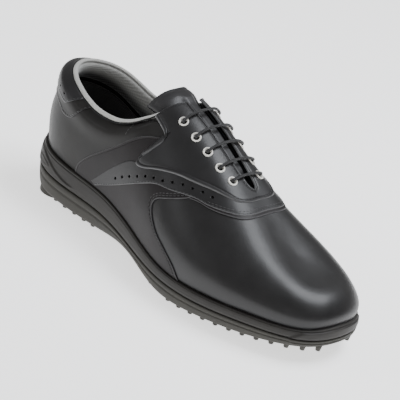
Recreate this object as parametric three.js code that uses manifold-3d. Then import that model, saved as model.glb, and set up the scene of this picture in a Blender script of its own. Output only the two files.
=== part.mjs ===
// A right-foot golf shoe as its maker assembles it: a leather upper lasted over a padded lining, a cup
// midsole, a cleated outsole, and seven soft-spike cleats that twist-lock into threaded receptacles.
// Millimetres. +X runs to the toe, +Y to the wearer's left (the medial side), +Z up. The origin lies on
// the ground under the middle of the shoe.

import * as THREE from 'three';
import { mergeVertices } from 'three/addons/utils/BufferGeometryUtils.js';
import Module from 'manifold-3d';

const wasm = await Module();
wasm.setup();

// ---------------------------------------------------------------- driving dimensions

const SHOE_LENGTH = 298.5;      // toe to heel over the sole edge
const BALL_WIDTH = 116.5;       // across the ball of the foot
const UPPER_RISE = 1;           // height grade of the upper above the sole, 1 = the sample last

const SOLE_LEDGE = 4;           // the sole edge stands this far outside the upper's feather line
const OUTER_LEATHER = 1.3;      // thickness of the panels lasted to the sole
const OVERLAY_LEATHER = 1.0;    // thickness of the eyestay, the perforated band and the backstay
const LINING = 0.9;             // thickness of the vamp and quarter linings
const STIFFENER = 0.9;          // heel counter and toe puff
const LAYER_GAP = 0.7;          // clearance between two layers of the upper
const SEAM_GAP = 0.5;           // clearance between two panels that meet edge to edge

const ROW_HEIGHT = 20;          // height of one row of the last at the collar, for UPPER_RISE = 1
const BINDING_SEAT = 0.05;      // clearance of the binding above the topline, in rows
const COLLAR_FOAM = 5.0;        // thickness of the padded collar
const COLLAR_DEPTH = 0.85;      // how far the pad reaches down, in rows of the last
const BINDING_RADIUS = 2.1;     // rolled binding round the topline
const TONGUE_THICKNESS = 3.4;
const TONGUE_CROWN = 4.5;       // the tongue's middle stands this far above its sides
const FOOTBED_THICKNESS = 4.5;
const BOARD_THICKNESS = 2.0;    // insole board
const SHANK_THICKNESS = 1.4;
const SHANK_WIDTH = 14;
const SHANK_LENGTH = 104;

const EYELET_PAIRS = 5;
const EYELET_BORE = 2.2;        // inner radius
const EYELET_WALL = 0.4;
const EYELET_FLANGE = 3.9;      // outer radius of the rolled rim
const EYELET_RIM = 0.8;         // height of the rolled rim
const LACE_RADIUS = 1.1;

const CLEAT_RADIUS = 12;
const CLEAT_LEGS = 6;
const CLEAT_FLANGE = 2.0;       // thickness of the cleat's disc
const CLEAT_LEG_REACH = 3.6;    // legs reach this far below the tread face
const STUD_RADIUS = 4.6;
const STUD_LENGTH = 5.0;
const STUD_CLEARANCE = 0.4;     // between the stud and the receptacle's bore
const RECEPTACLE_RADIUS = 7.6;
const RECEPTACLE_DEPTH = 6.4;   // depth of the pocket in the outsole
const RECESS_DEPTH = 1.2;       // dished seat of the cleat's disc in the tread
const FIT_GAP = 0.35;           // clearance round an insert

const NUB_ROOT = 2.9;           // radius of a tread nub where it leaves the tread
const NUB_TIP = 1.8;            // and at its flat tip
const NUB_REACH = 3.4;          // length of the nubs below the tread
const NUB_PITCH = 20;           // spacing of the inner nubs
const NUB_EDGE_PITCH = 10.5;    // spacing of the nubs along the edge
const NUB_EDGE_INSET = 6.5;     // their distance from the edge of the tread
const NUB_TOE = 0.5;            // the stations where the edge's nubs begin
const NUB_HEEL = 10.4;          // and end, so that none stands out past the sole
const HEEL_PAD_RADIUS = 4.2;    // flat lug under the middle of the heel

const RING_STEPS = 3;           // samples round the sole for each control station

// ---------------------------------------------------------------- the last

// The sample last, toe to heel. Each station gives the sole edge on the lateral and the medial side, the
// crest of the upper above it, the heights of the feather line, the groove round the sole and the tread,
// how full the cross-section is, and how far the wall bulges outward. They are control points of a
// uniform cubic B-spline, so the surface runs close to them and not through them.
const SAMPLE_LENGTH = 298.5;
const SAMPLE_BALL = 116.5;
const STATIONS = [
  { lateral: [146, 2.5], medial: [146, 2.5], crest: [100, 3, 51],
    feather: 31, groove: 21.5, tread: 14.5, full: 0.79, bulge: 2 },
  { lateral: [140, -23], medial: [142, 27], crest: [100, 2, 51],
    feather: 27.5, groove: 20.5, tread: 13.5, full: 0.76, bulge: 2 },
  { lateral: [122, -39.5], medial: [124, 44], crest: [96, 1, 53.5],
    feather: 26, groove: 19.5, tread: 12, full: 0.76, bulge: 2 },
  { lateral: [92, -52], medial: [94, 55], crest: [80, 1, 61],
    feather: 25.5, groove: 18.5, tread: 8, full: 0.71, bulge: 3 },
  { lateral: [56, -62], medial: [60, 56], crest: [52, 1, 76],
    feather: 23.5, groove: 16, tread: 6, full: 0.56, bulge: 3 },
  { lateral: [16, -62], medial: [24, 47], crest: [16, 2.5, 96],
    feather: 22.5, groove: 15.5, tread: 2, full: 0.46, bulge: 2 },
  { lateral: [-24, -48.5], medial: [-18, 37], crest: [-22, 4.5, 116.5],
    feather: 29.5, groove: 18.5, tread: 15.5, full: 0.58, bulge: 2 },
  { lateral: [-64, -38], medial: [-62, 35.5], crest: [-56, 4.5, 124],
    feather: 36, groove: 21.5, tread: 5, full: 0.8, bulge: 2 },
  { lateral: [-102, -39.5], medial: [-102, 38], crest: [-84, 2.5, 122],
    feather: 37.5, groove: 21.5, tread: 5.5, full: 0.88, bulge: 3 },
  { lateral: [-132, -35.5], medial: [-132, 35], crest: [-100, 0, 118.5],
    feather: 39, groove: 22, tread: 5.5, full: 0.88, bulge: 4 },
  { lateral: [-151, -19], medial: [-151, 19], crest: [-108, 0, 116],
    feather: 41, groove: 22.5, tread: 8, full: 0.9, bulge: 5 },
  { lateral: [-156, 0], medial: [-156, 0], crest: [-110, 0, 115],
    feather: 42.5, groove: 23, tread: 9, full: 0.95, bulge: 6 },
];
const HEEL = STATIONS.length - 1;   // u runs 0 at the toe, lateral side, HEEL at the heel, medial side,
const ROUND = 2 * HEEL;             // and is back at the toe at ROUND
const SPINE = 5;                    // v runs 0 at the feather line to SPINE on the crest

const wrap = (i) => ((i % ROUND) + ROUND) % ROUND;
const station = (i) => STATIONS[Math.min(wrap(i), ROUND - wrap(i))];
const graded = (x, y) => new THREE.Vector2((x * SHOE_LENGTH) / SAMPLE_LENGTH, (y * BALL_WIDTH) / SAMPLE_BALL);

function edgePoint(i) {
  const side = wrap(i) <= HEEL ? station(i).lateral : station(i).medial;
  return graded(...side);
}

// The outward direction at a control station, square to the line between its neighbours.
function edgeNormal(i) {
  const along = edgePoint(i + 1).sub(edgePoint(i - 1)).normalize();
  return new THREE.Vector2(-along.y, along.x);
}

const featherPoint = (i) => edgePoint(i).addScaledVector(edgeNormal(i), -SOLE_LEDGE);

// One control point of the upper: row 0 is the feather line, row SPINE the crest.
function netPoint(i, row) {
  if (row > SPINE) return netPoint(ROUND - i, 2 * SPINE - row);
  if (row < 0) return netPoint(i, 0).multiplyScalar(2).sub(netPoint(i, 1));
  const { crest, feather, full, bulge } = station(i);
  const slack = 1 - full;
  const shares = [
    { inward: 0, height: 0, outward: 0 },
    { inward: 0, height: 0.3, outward: bulge },
    { inward: slack * 0.45, height: 0.62, outward: bulge * 0.6 },
    { inward: slack + 0.04, height: 0.9, outward: 0 },
    { inward: 0.62 + 0.2 * slack, height: 1, outward: 0 },
    { inward: 1, height: 1, outward: 0 },
  ][row];
  const plan = featherPoint(i).lerp(graded(crest[0], crest[1]), shares.inward);
  plan.addScaledVector(edgeNormal(i), shares.outward);
  const rise = (crest[2] - feather) * UPPER_RISE;
  return new THREE.Vector3(plan.x, plan.y, feather + rise * shares.height);
}

const netRow = (row) => [...Array(ROUND).keys()].map((i) => netPoint(i, row));
const NET = [...Array(SPINE + 3).keys()].map((row) => netRow(row - 1));

// Weights of the four control points round a parameter.
function weights(t) {
  const r = 1 - t;
  const second = (3 * t ** 3 - 6 * t ** 2 + 4) / 6;
  const third = (-3 * t ** 3 + 3 * t ** 2 + 3 * t + 1) / 6;
  return [r ** 3 / 6, second, third, t ** 3 / 6];
}

// A value round the shoe, blended from the stations by read(i), which gives a number.
function roundValue(u, read) {
  const cell = Math.floor(u);
  return weights(u - cell).reduce((sum, w, k) => sum + w * read(cell - 1 + k), 0);
}

// The two halves meet on the crest and share its points exactly.
const onLateral = (u) => Math.min(((u % ROUND) + ROUND) % ROUND, ROUND - (((u % ROUND) + ROUND) % ROUND));
const canonical = ([u, v]) => (v > SPINE - 1e-6 ? [onLateral(u), SPINE] : [u, v]);

function lastPoint(u, v) {
  const row = Math.min(Math.floor(v), SPINE - 1);
  const across = weights(v - row);
  const cell = Math.floor(u);
  const along = weights(u - cell);
  const point = new THREE.Vector3();
  across.forEach((a, r) => {
    along.forEach((b, k) => point.addScaledVector(NET[row + r][wrap(cell - 1 + k)], a * b));
  });
  return point;
}

// The crest's end over the toe is a pole, so the normal there is read a little way behind it.
function lastNormal(u, v) {
  const step = 0.01;
  const poleReach = v > SPINE - 0.5 ? 1.2 : 0;
  const side = onLateral(u);
  const w = side < poleReach ? poleReach * (wrap(Math.round(u)) > HEEL || u < 0 ? -1 : 1) : u;
  const du = lastPoint(w + step, v).sub(lastPoint(w - step, v));
  const dv = lastPoint(w, Math.min(v + step, SPINE)).sub(lastPoint(w, v - step));
  return du.cross(dv).normalize().negate();
}

// A point of the upper, moved outward from the last by offset.
function upperPoint(uv, offset) {
  const [u, v] = canonical(uv);
  return lastPoint(u, v).addScaledVector(lastNormal(u, v), offset);
}

// A point round the sole, inset from its edge. depth 1 draws it onto the middle line.
function solePoint(u, inset, z, depth = 0) {
  const edge = (w) => new THREE.Vector2(
    roundValue(w, (i) => edgePoint(i).x - edgeNormal(i).x * inset),
    roundValue(w, (i) => edgePoint(i).y - edgeNormal(i).y * inset),
  );
  const side = onLateral(u);
  const middle = edge(side).add(edge(ROUND - side)).multiplyScalar(0.5);
  const plan = depth === 1 ? middle : edge(u).lerp(middle, depth);
  return new THREE.Vector3(plan.x, plan.y, z(side));
}

const featherZ = (u) => roundValue(u, (i) => station(i).feather);
const grooveZ = (u) => roundValue(u, (i) => station(i).groove);
const treadZ = (u) => roundValue(u, (i) => station(i).tread);
const raised = (height, by) => (u) => height(u) + by;

// ---------------------------------------------------------------- solids

// Joins equal corners, drops collapsed triangles and turns the faces outward.
function closed(positions, indices) {
  let geometry = new THREE.BufferGeometry();
  geometry.setAttribute('position', new THREE.Float32BufferAttribute(positions, 3));
  geometry.setIndex(indices);
  geometry = mergeVertices(geometry, 2e-3);
  const corner = geometry.index.array;
  const kept = [];
  for (let i = 0; i < corner.length; i += 3) {
    const [a, b, c] = [corner[i], corner[i + 1], corner[i + 2]];
    if (a !== b && b !== c && c !== a) kept.push([a, b, c]);
  }
  const at = (i) => new THREE.Vector3().fromBufferAttribute(geometry.attributes.position, i);
  const volume = kept.reduce((sum, [a, b, c]) => sum + at(a).dot(at(b).cross(at(c))), 0);
  geometry.setIndex(kept.flatMap(([a, b, c]) => (volume > 0 ? [a, b, c] : [a, c, b])));
  return geometry;
}

// A solid of rings round the shoe, from one middle line, over the edges, to the other middle line.
function ringSolid(rings) {
  const count = ROUND * RING_STEPS;
  const positions = [];
  for (const { inset, z, depth } of rings) {
    for (let k = 0; k < count; k++) positions.push(...solePoint(k / RING_STEPS, inset, z, depth));
  }
  const indices = [];
  for (let r = 0; r + 1 < rings.length; r++) {
    for (let k = 0; k < count; k++) {
      const next = (k + 1) % count;
      const [a, b, c, d] = [r * count + k, r * count + next, (r + 1) * count + next, (r + 1) * count + k];
      indices.push(a, b, c, a, c, d);
    }
  }
  return closed(positions, indices);
}

// A panel of the upper: patch maps (s, t) to a point (u, v) of the last, and the panel fills the space
// between two offsets from it. Edges on the crest are open, because the two halves join there.
function panel(patch, [steps, rows], inner, outer, lift = () => 0) {
  const positions = [];
  const onCrest = [];
  for (const offset of [inner, outer]) {
    for (let j = 0; j <= rows; j++) {
      for (let i = 0; i <= steps; i++) {
        const uv = patch(i / steps, j / rows);
        onCrest.push(uv[1] > SPINE - 1e-6);
        positions.push(...upperPoint(uv, offset + lift(uv)));
      }
    }
  }
  const at = (i, j, skin) => (skin * (rows + 1) + j) * (steps + 1) + i;
  const indices = [];
  const quad = (a, b, c, d) => indices.push(a, b, c, a, c, d);
  for (let j = 0; j < rows; j++) {
    for (let i = 0; i < steps; i++) {
      quad(at(i, j, 1), at(i + 1, j, 1), at(i + 1, j + 1, 1), at(i, j + 1, 1));
      quad(at(i, j, 0), at(i, j + 1, 0), at(i + 1, j + 1, 0), at(i + 1, j, 0));
    }
  }
  const wall = (a, b) => {
    const [i, j] = a;
    const [k, l] = b;
    if (onCrest[at(i, j, 0)] && onCrest[at(k, l, 0)]) return;
    quad(at(i, j, 0), at(k, l, 0), at(k, l, 1), at(i, j, 1));
  };
  for (let i = 0; i < steps; i++) {
    wall([i, 0], [i + 1, 0]);
    wall([i + 1, rows], [i, rows]);
  }
  for (let j = 0; j < rows; j++) {
    wall([steps, j], [steps, j + 1]);
    wall([0, j + 1], [0, j]);
  }
  return closed(positions, indices);
}

function toManifold(geometry) {
  const bare = geometry.clone();
  bare.deleteAttribute('normal');
  bare.deleteAttribute('uv');
  const merged = mergeVertices(bare, 1e-4);
  return new wasm.Manifold(new wasm.Mesh({
    numProp: 3,
    vertProperties: new Float32Array(merged.attributes.position.array),
    triVerts: new Uint32Array(merged.index.array),
  }));
}

function toGeometry(solid) {
  const { vertProperties, triVerts } = solid.getMesh();
  const geometry = new THREE.BufferGeometry();
  geometry.setAttribute('position', new THREE.Float32BufferAttribute(vertProperties, 3));
  geometry.setIndex([...triVerts]);
  return geometry;
}

function cut(geometry, tools) {
  return toGeometry(tools.reduce((body, tool) => body.subtract(toManifold(tool)), toManifold(geometry)));
}

function join(geometry, extras) {
  return toGeometry(extras.reduce((body, extra) => body.add(toManifold(extra)), toManifold(geometry)));
}

// A cylinder or cone about the local Z axis, between two heights.
function drum(lowRadius, highRadius, low, high, sides) {
  return new THREE.CylinderGeometry(highRadius, lowRadius, high - low, sides)
    .rotateX(Math.PI / 2)
    .translate(0, 0, (low + high) / 2);
}

// A turned ring about the local Z axis, from its [radius, height] profile.
function turned(profile, sides) {
  const points = [...profile, profile[0]].map(([r, z]) => new THREE.Vector2(r, z));
  return new THREE.LatheGeometry(points, sides).rotateX(Math.PI / 2);
}

// The matrix that stands the local Z axis on a point along a direction.
function standing(origin, direction) {
  const turn = new THREE.Quaternion().setFromUnitVectors(new THREE.Vector3(0, 0, 1), direction);
  return new THREE.Matrix4().compose(origin, turn, new THREE.Vector3(1, 1, 1));
}

// ---------------------------------------------------------------- pattern lines, in (u, v) of the last

const line = (...points) => new THREE.SplineCurve(points.map(([u, v]) => new THREE.Vector2(u, v)));
const LOW_EDGE = 0.03 / UPPER_RISE;   // the panels end just above the feather line, whatever the rise

const TOPLINE = line([6.46, 4.2], [6.58, 3.12], [6.82, 2.56], [7.09, 2.22], [7.4, 2.06], [7.84, 2.06],
  [8.28, 2.22], [8.82, 2.46], [9.5, 2.68], [10.31, 2.83], [HEEL, 2.88]);
const HEEL_SEAM = line([7.92, LOW_EDGE], [7.86, 0.35], [7.62, 0.77], [7.09, 1.48], [6.62, 2.21], [6.44, 2.5]);
const WAVE = line([4.46, LOW_EDGE], [4.66, 0.42], [4.94, 0.66], [5.25, 0.81], [5.5, 1.0], [5.63, 1.35],
  [5.57, 1.8], [5.53, 2.35]);
const EYESTAY_OUTER = line([6.58, 2.95], [6.4, 2.86], [6.22, 2.76], [6.16, 2.58], [6.26, 2.19],
  [6.38, 1.86], [6.42, 1.6], [6.24, 1.65], [5.93, 1.94], [5.53, 2.3], [5.12, 2.63], [4.74, 3.03],
  [4.44, 3.43], [4.27, 3.81], [4.18, 4.35], [4.16, SPINE]);
const EYESTAY_INNER = line([6.41, 4.5], [6.19, 4.45], [5.8, 4.51], [5.43, 4.57], [5.08, 4.66],
  [4.74, 4.76], [4.5, 4.84], [4.4, SPINE]);
const BAND_LOWER = line([7.3, 0.08], [6.85, 0.5], [6.41, 0.99], [6.08, 1.37], [5.75, 1.68],
  [5.38, 1.94], [4.91, 2.36], [4.59, 2.58], [4.3, 2.89], [4.04, 3.33], [3.91, 3.78], [3.85, 4.38],
  [3.84, SPINE]);
const BAND_UPPER = line([7.4, 0.16], [7.2, 0.5], [6.95, 0.95], [6.6, 1.5], [6.24, 1.58], [5.93, 1.86],
  [5.53, 2.2], [5.12, 2.52], [4.72, 2.93], [4.38, 3.37], [4.2, 3.79], [4.1, 4.33], [4.07, SPINE]);
const VAMP_TOP = line([5.53, 2.35], [5.12, 2.76], [4.72, 3.2], [4.42, 3.6], [4.25, 4.0], [4.15, 4.5],
  [4.12, SPINE]);
const FACING_OUTER = line([6.41, 3.22], [5.8, 3.1], [5.25, 3.2], [4.9, 3.42], [4.6, 3.78], [4.48, 4.4]);
const EYELETS = line([4.68, 4.02], [5.0, 3.8], [5.36, 3.68], [5.7, 3.6], [6.08, 3.58]);

const read = (curve, t) => {
  const p = curve.getPoint(Math.min(Math.max(t, 0), 1));
  return [p.x, p.y];
};
const mirrored = (patch) => (s, t) => {
  const [u, v] = patch(1 - s, t);
  return [ROUND - u, v];
};
const mix = (a, b, t) => [a[0] + (b[0] - a[0]) * t, a[1] + (b[1] - a[1]) * t];

// A patch between a lower and an upper edge, each a function of s that gives (u, v).
const between = (lower, upper) => (s, t) => mix(lower(s), upper(s), t);

// A patch inside four edges that meet at their ends.
function framed(bottom, top, left, right) {
  return (s, t) => {
    const ruled = mix(bottom(s), top(s), t);
    const sides = mix(left(t), right(t), s);
    const corners = mix(mix(bottom(0), bottom(1), s), mix(top(0), top(1), s), t);
    return [ruled[0] + sides[0] - corners[0], ruled[1] + sides[1] - corners[1]];
  };
}

// The same edge run on both sides of the shoe, lateral end first, through its crest point at s = 0.5.
const bothSides = (curve) => (s) => {
  if (s <= 0.5) return read(curve, 2 * s);
  const [u, v] = read(curve, 2 * (1 - s));
  return [-u, v];
};

// Moves the edges of a patch in by the seam gap. span is the patch's rough size in mm both ways.
function trimmed(patch, [spanS, spanT]) {
  const [a, b] = [SEAM_GAP / spanS, SEAM_GAP / spanT];
  return (s, t) => patch(a + s * (1 - 2 * a), b + t * (1 - 2 * b));
}

// ---------------------------------------------------------------- offsets of the layers from the last

const OUTER = [-0.4, -0.4 + OUTER_LEATHER];
const OVERLAY = [OUTER[1] + LAYER_GAP, OUTER[1] + LAYER_GAP + OVERLAY_LEATHER];
const STIFF = [OUTER[0] - LAYER_GAP - STIFFENER, OUTER[0] - LAYER_GAP];
const LINED = [STIFF[0] - LAYER_GAP - LINING, STIFF[0] - LAYER_GAP];
const FOAM_TOP = OUTER[0] - LAYER_GAP - 0.5;
const FOAM = [FOAM_TOP - COLLAR_FOAM, FOAM_TOP];
const LACE_UNDER = OUTER[0] - LAYER_GAP - LACE_RADIUS;
const LACE_OVER = OVERLAY[1] + LAYER_GAP + EYELET_RIM + LACE_RADIUS + 0.5;
const TONGUE_TOP = Math.min(LACE_UNDER - LACE_RADIUS, LINED[0]) - LAYER_GAP - 0.3;
const TONGUE = [TONGUE_TOP - TONGUE_THICKNESS, TONGUE_TOP];
const FOOTBED_INSET = SOLE_LEDGE - LINED[0] + 1.2;

// ---------------------------------------------------------------- upper

// The heel panel's top edge starts under the eyestay, climbs to the topline and follows it to the heel.
const PANEL_TOP = line([6.44, 2.5], [6.5, 2.85], [6.66, 2.87], [6.82, 2.56], [7.09, 2.22], [7.4, 2.06],
  [7.84, 2.06], [8.28, 2.22], [8.82, 2.46], [9.5, 2.68], [10.31, 2.83], [HEEL, 2.88]);

const heelPatch = trimmed(framed(
  (s) => mix([7.92, LOW_EDGE], [HEEL, LOW_EDGE], s),
  (s) => read(PANEL_TOP, s),
  (t) => read(HEEL_SEAM, t),
  (t) => mix([HEEL, LOW_EDGE], read(PANEL_TOP, 1), t),
), [70, 60]);

function quarterPatch() {
  const front = (t) => read(WAVE, t);
  const back = (t) => read(HEEL_SEAM, t);
  const low = (s) => mix(read(WAVE, 0), read(HEEL_SEAM, 0), s);
  const high = (s) => {
    const [u, v] = mix(read(WAVE, 1), read(HEEL_SEAM, 1), s);
    return [u, v - 0.52 * Math.sin(Math.PI * s)];
  };
  return trimmed(framed(low, high, front, back), [80, 60]);
}

// The vamp runs round the toe. Its top edge is the crest as far back as the throat, then the line under
// the eyestay's edge down to the wave seam.
function vampPatch() {
  const throat = 0.4;
  const low = (s) => [read(WAVE, 0)[0] * (2 * s - 1), LOW_EDGE];
  const high = (s) => {
    const q = 1 - Math.abs(2 * s - 1);
    const sign = s < 0.5 ? -1 : 1;
    const onThroat = read(VAMP_TOP, q / throat);
    if (q <= throat) return [sign * onThroat[0], onThroat[1]];
    return [sign * read(VAMP_TOP, 1)[0] * (1 - (q - throat) / (1 - throat)), SPINE];
  };
  const left = (t) => {
    const [u, v] = read(WAVE, t);
    return [-u, v];
  };
  const right = (t) => read(WAVE, t);
  return framed(low, high, left, right);
}

// Keeps a patch's s-ends clear of their neighbours, and leaves its t-edges as they are.
const endsTrimmed = (patch, span) => (s, t) => {
  const a = SEAM_GAP / span;
  return patch(a + s * (1 - 2 * a), t);
};

const eyestayPatch = between(bothSides(EYESTAY_OUTER), bothSides(EYESTAY_INNER));
const bandPatch = between(bothSides(BAND_LOWER), bothSides(BAND_UPPER));

// Reinforcement under the eyelets, from the facing edge down into the eyestay.
const facingPatch = between((s) => read(FACING_OUTER, s), (s) => read(EYESTAY_INNER, 0.04 + 0.82 * s));

const backstayPatch = (s, t) => {
  const side = 2 * s - 1;
  const u = HEEL + side * 2.45;
  const top = read(TOPLINE, 1 - 0.42 * Math.abs(side) ** 1.1)[1];
  const low = 2.02 - 0.2 * Math.abs(side) ** 2;
  return [u, mix([0, low], [0, top - 0.03], t)[1]];
};

const vampLiningPatch = (s, t) => {
  const u = 5.35 * (2 * s - 1);
  const reach = Math.abs(u) < 3.9 ? SPINE : SPINE - 1.75 * (Math.abs(u) - 3.9) / 1.45 - 0.55;
  return [u, LOW_EDGE + (reach - LOW_EDGE) * t];
};

const toplineAt = (u) => {
  const side = u <= HEEL ? u : ROUND - u;
  let [low, high] = [0, 1];
  for (let k = 0; k < 40; k++) {
    const mid = (low + high) / 2;
    if (read(TOPLINE, mid)[0] < side) low = mid;
    else high = mid;
  }
  return read(TOPLINE, low)[1];
};

const quarterLiningPatch = (s, t) => {
  const u = 5.5 + (ROUND - 11) * s;
  const side = onLateral(u);
  const behind = toplineAt(u) - COLLAR_DEPTH - 0.2;
  const free = side < 6.7 ? 2.6 - 1.15 * THREE.MathUtils.smoothstep(side, 6.0, 6.7) : behind;
  return [u, LOW_EDGE + (Math.min(free, 2.6) - LOW_EDGE) * t];
};

const collarPatch = (s, t) => {
  const u = 6.85 + (ROUND - 13.7) * s;
  const top = toplineAt(u) - 0.07;
  return [u, top - COLLAR_DEPTH * (1 - t)];
};

const counterPatch = (s, t) => {
  const u = HEEL + 3 * (2 * s - 1);
  return [u, 0.08 + (toplineAt(u) - COLLAR_DEPTH - 0.33) * t];
};

const puffPatch = (s, t) => [2.4 * (2 * s - 1), mix([0, 0.1], [0, 3.2], t)[1]];

const tongueWidth = (t) => 1.45 + 0.45 * THREE.MathUtils.smoothstep(t, 0.72, 0.92);

const tonguePatch = (s, t) => {
  const across = 2 * s - 1;
  const u = 4.3 + 2.54 * t;
  return [across < 0 ? u : ROUND - u, SPINE - tongueWidth(t) * Math.abs(across)];
};

// The tongue is crowned: it fills the gap between the facings, and rises free of them at its top end.
function tongueLift([u, v]) {
  const t = (onLateral(u) - 4.3) / 2.54;
  const across = (SPINE - v) / tongueWidth(t);
  const { smoothstep } = THREE.MathUtils;
  const free = smoothstep(t, 0.84, 0.94);
  const middle = TONGUE_CROWN * (1 - smoothstep(across, 0.08, 0.25)) * smoothstep(t, 0.1, 0.26) * (1 - free);
  return middle + free * TONGUE_CROWN * (1 - 0.8 * across ** 2.5);
}

// The binding is a round cord sewn over the topline, from one eyestay to the other.
function bindingSolid() {
  const points = [];
  for (let u = 6.78; u <= ROUND - 6.78 + 1e-9; u += (ROUND - 13.56) / 32) {
    const side = u <= HEEL ? u : ROUND - u;
    const above = (BINDING_RADIUS / ROW_HEIGHT + BINDING_SEAT) / UPPER_RISE;
    points.push(upperPoint([u, toplineAt(u) + above], -1.2 - 0.1 * (HEEL - side)));
  }
  return tube(new THREE.CatmullRomCurve3(points), BINDING_RADIUS, 30, 8);
}

function tube(path, radius, steps, sides) {
  const section = new THREE.Shape().absarc(0, 0, radius, 0, 2 * Math.PI);
  return new THREE.ExtrudeGeometry(section, {
    extrudePath: path,
    steps,
    curveSegments: sides / 2,
    bevelEnabled: false,
  });
}

// ---------------------------------------------------------------- eyelets and lace

const eyeletAt = (row, medial) => {
  const [u, v] = read(EYELETS, row / (EYELET_PAIRS - 1));
  return medial ? [ROUND - u, v] : [u, v];
};

const eyeletFrame = (row, medial) => {
  const [u, v] = eyeletAt(row, medial);
  return standing(lastPoint(u, v), lastNormal(u, v));
};

const eyeletHoles = [];
for (let row = 0; row < EYELET_PAIRS; row++) {
  for (const medial of [false, true]) {
    const clear = EYELET_BORE + EYELET_WALL + FIT_GAP;
    const hole = drum(clear, clear, OUTER[0] - 4, OVERLAY[1] + 4, 10);
    eyeletHoles.push(hole.applyMatrix4(eyeletFrame(row, medial)));
  }
}

function eyeletSolid() {
  const rimLow = OVERLAY[1] + LAYER_GAP;
  const rimHigh = rimLow + EYELET_RIM;
  const wall = EYELET_BORE + EYELET_WALL;
  return turned([
    [EYELET_BORE, OUTER[0]],
    [wall, OUTER[0]],
    [wall, rimLow],
    [EYELET_FLANGE, rimLow],
    [EYELET_FLANGE - 0.5, rimHigh],
    [EYELET_BORE, rimHigh],
  ], 10);
}

// The lace runs straight across each pair, and under the facing from one pair to the next, on the medial
// and the lateral side in turn. Both ends are tucked under the facing.
function laceRoute() {
  const over = (row, share) => {
    const [u, v] = eyeletAt(row, false);
    const reach = SPINE - (SPINE - v) * Math.abs(share);
    return upperPoint([share < 0 ? u : ROUND - u, reach], LACE_OVER);
  };
  const through = (row, medial) => [LACE_OVER - 0.6, OVERLAY[1], OUTER[0] - 0.6].map((offset) => {
    const [u, v] = eyeletAt(row, medial);
    return lastPoint(u, v).addScaledVector(lastNormal(u, v), offset);
  });
  const under = (row, next, medial, share) => {
    const place = mix(eyeletAt(row, medial), eyeletAt(next, medial), share);
    return upperPoint(place, LACE_UNDER);
  };
  const bar = (row, fromMedial) => {
    const crossing = [-0.66, -0.3, 0.3, 0.66];
    const down = fromMedial ? -1 : 1;
    return [
      ...through(row, fromMedial).reverse(),
      ...crossing.map((share) => over(row, share * down)),
      ...through(row, !fromMedial),
    ];
  };
  const route = [0.75, 0.3].map((share) => under(0, 1, false, share));
  for (let row = 0; row < EYELET_PAIRS; row++) {
    const fromMedial = row % 2 === 1;
    route.push(...bar(row, fromMedial));
    if (row + 1 < EYELET_PAIRS) route.push(under(row, row + 1, !fromMedial, 0.5));
  }
  const last = EYELET_PAIRS - 1;
  route.push(...[0.3, 0.75].map((share) => under(last, last - 1, EYELET_PAIRS % 2 === 1, share)));
  return route;
}

// A route that is sampled by its own points, so that short stretches keep their shape.
class LaceCurve extends THREE.CatmullRomCurve3 {
  getPointAt(t, target) {
    return this.getPoint(t, target);
  }

  getTangentAt(t, target) {
    return this.getTangent(t, target);
  }

  getSpacedPoints(divisions) {
    return this.getPoints(divisions);
  }
}

function laceSolid() {
  const route = laceRoute();
  return tube(new LaceCurve(route), LACE_RADIUS, 2 * (route.length - 1), 8);
}

// ---------------------------------------------------------------- sole

const outsoleRings = [
  { inset: 12, z: treadZ, depth: 1 },
  { inset: 12, z: treadZ, depth: 0 },
  { inset: 3.4, z: treadZ, depth: 0 },
  { inset: 1.2, z: raised(treadZ, 2.2), depth: 0 },
  { inset: 0.2, z: raised(grooveZ, -1.2), depth: 0 },
  { inset: 1.0, z: raised(grooveZ, -0.3), depth: 0 },
  { inset: 12, z: raised(grooveZ, -0.3), depth: 0 },
  { inset: 12, z: raised(grooveZ, -0.3), depth: 1 },
];

const CUP_INSET = SOLE_LEDGE - LINED[0] + 0.4;
const midsoleFloor = raised(featherZ, -BOARD_THICKNESS - SHANK_THICKNESS - 2 * LAYER_GAP - 0.4);
const midsoleRings = [
  { inset: 12, z: grooveZ, depth: 1 },
  { inset: 12, z: grooveZ, depth: 0 },
  { inset: 1.0, z: grooveZ, depth: 0 },
  { inset: 0.2, z: raised(grooveZ, 1.0), depth: 0 },
  { inset: 0.0, z: raised(grooveZ, 2.4), depth: 0 },
  { inset: 0.8, z: raised(featherZ, -1.2), depth: 0 },
  { inset: 1.5, z: raised(featherZ, -0.1), depth: 0 },
  { inset: CUP_INSET, z: raised(featherZ, -0.1), depth: 0 },
  { inset: CUP_INSET, z: midsoleFloor, depth: 0 },
  { inset: CUP_INSET, z: midsoleFloor, depth: 1 },
];

const plateRings = (inset, low, high) => [
  { inset, z: low, depth: 1 },
  { inset, z: low, depth: 0 },
  { inset, z: high, depth: 0 },
  { inset, z: high, depth: 1 },
];

const boardTop = raised(featherZ, -0.4);
const boardLow = raised(featherZ, -0.4 - BOARD_THICKNESS);

// The plan position and height of a point of the tread: s is the station from the toe, share runs from 0
// on the lateral edge to 1 on the medial edge.
function treadPoint(s, share) {
  const lateral = solePoint(s, 0, treadZ);
  const medial = solePoint(ROUND - s, 0, treadZ);
  return lateral.lerp(medial, share);
}

function treadNormal(s, share) {
  const step = 0.05;
  const along = treadPoint(s + step, share).sub(treadPoint(s - step, share));
  const across = treadPoint(s, share + step).sub(treadPoint(s, share - step));
  const normal = along.cross(across).normalize();
  return normal.z < 0 ? normal.negate() : normal;
}

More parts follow.
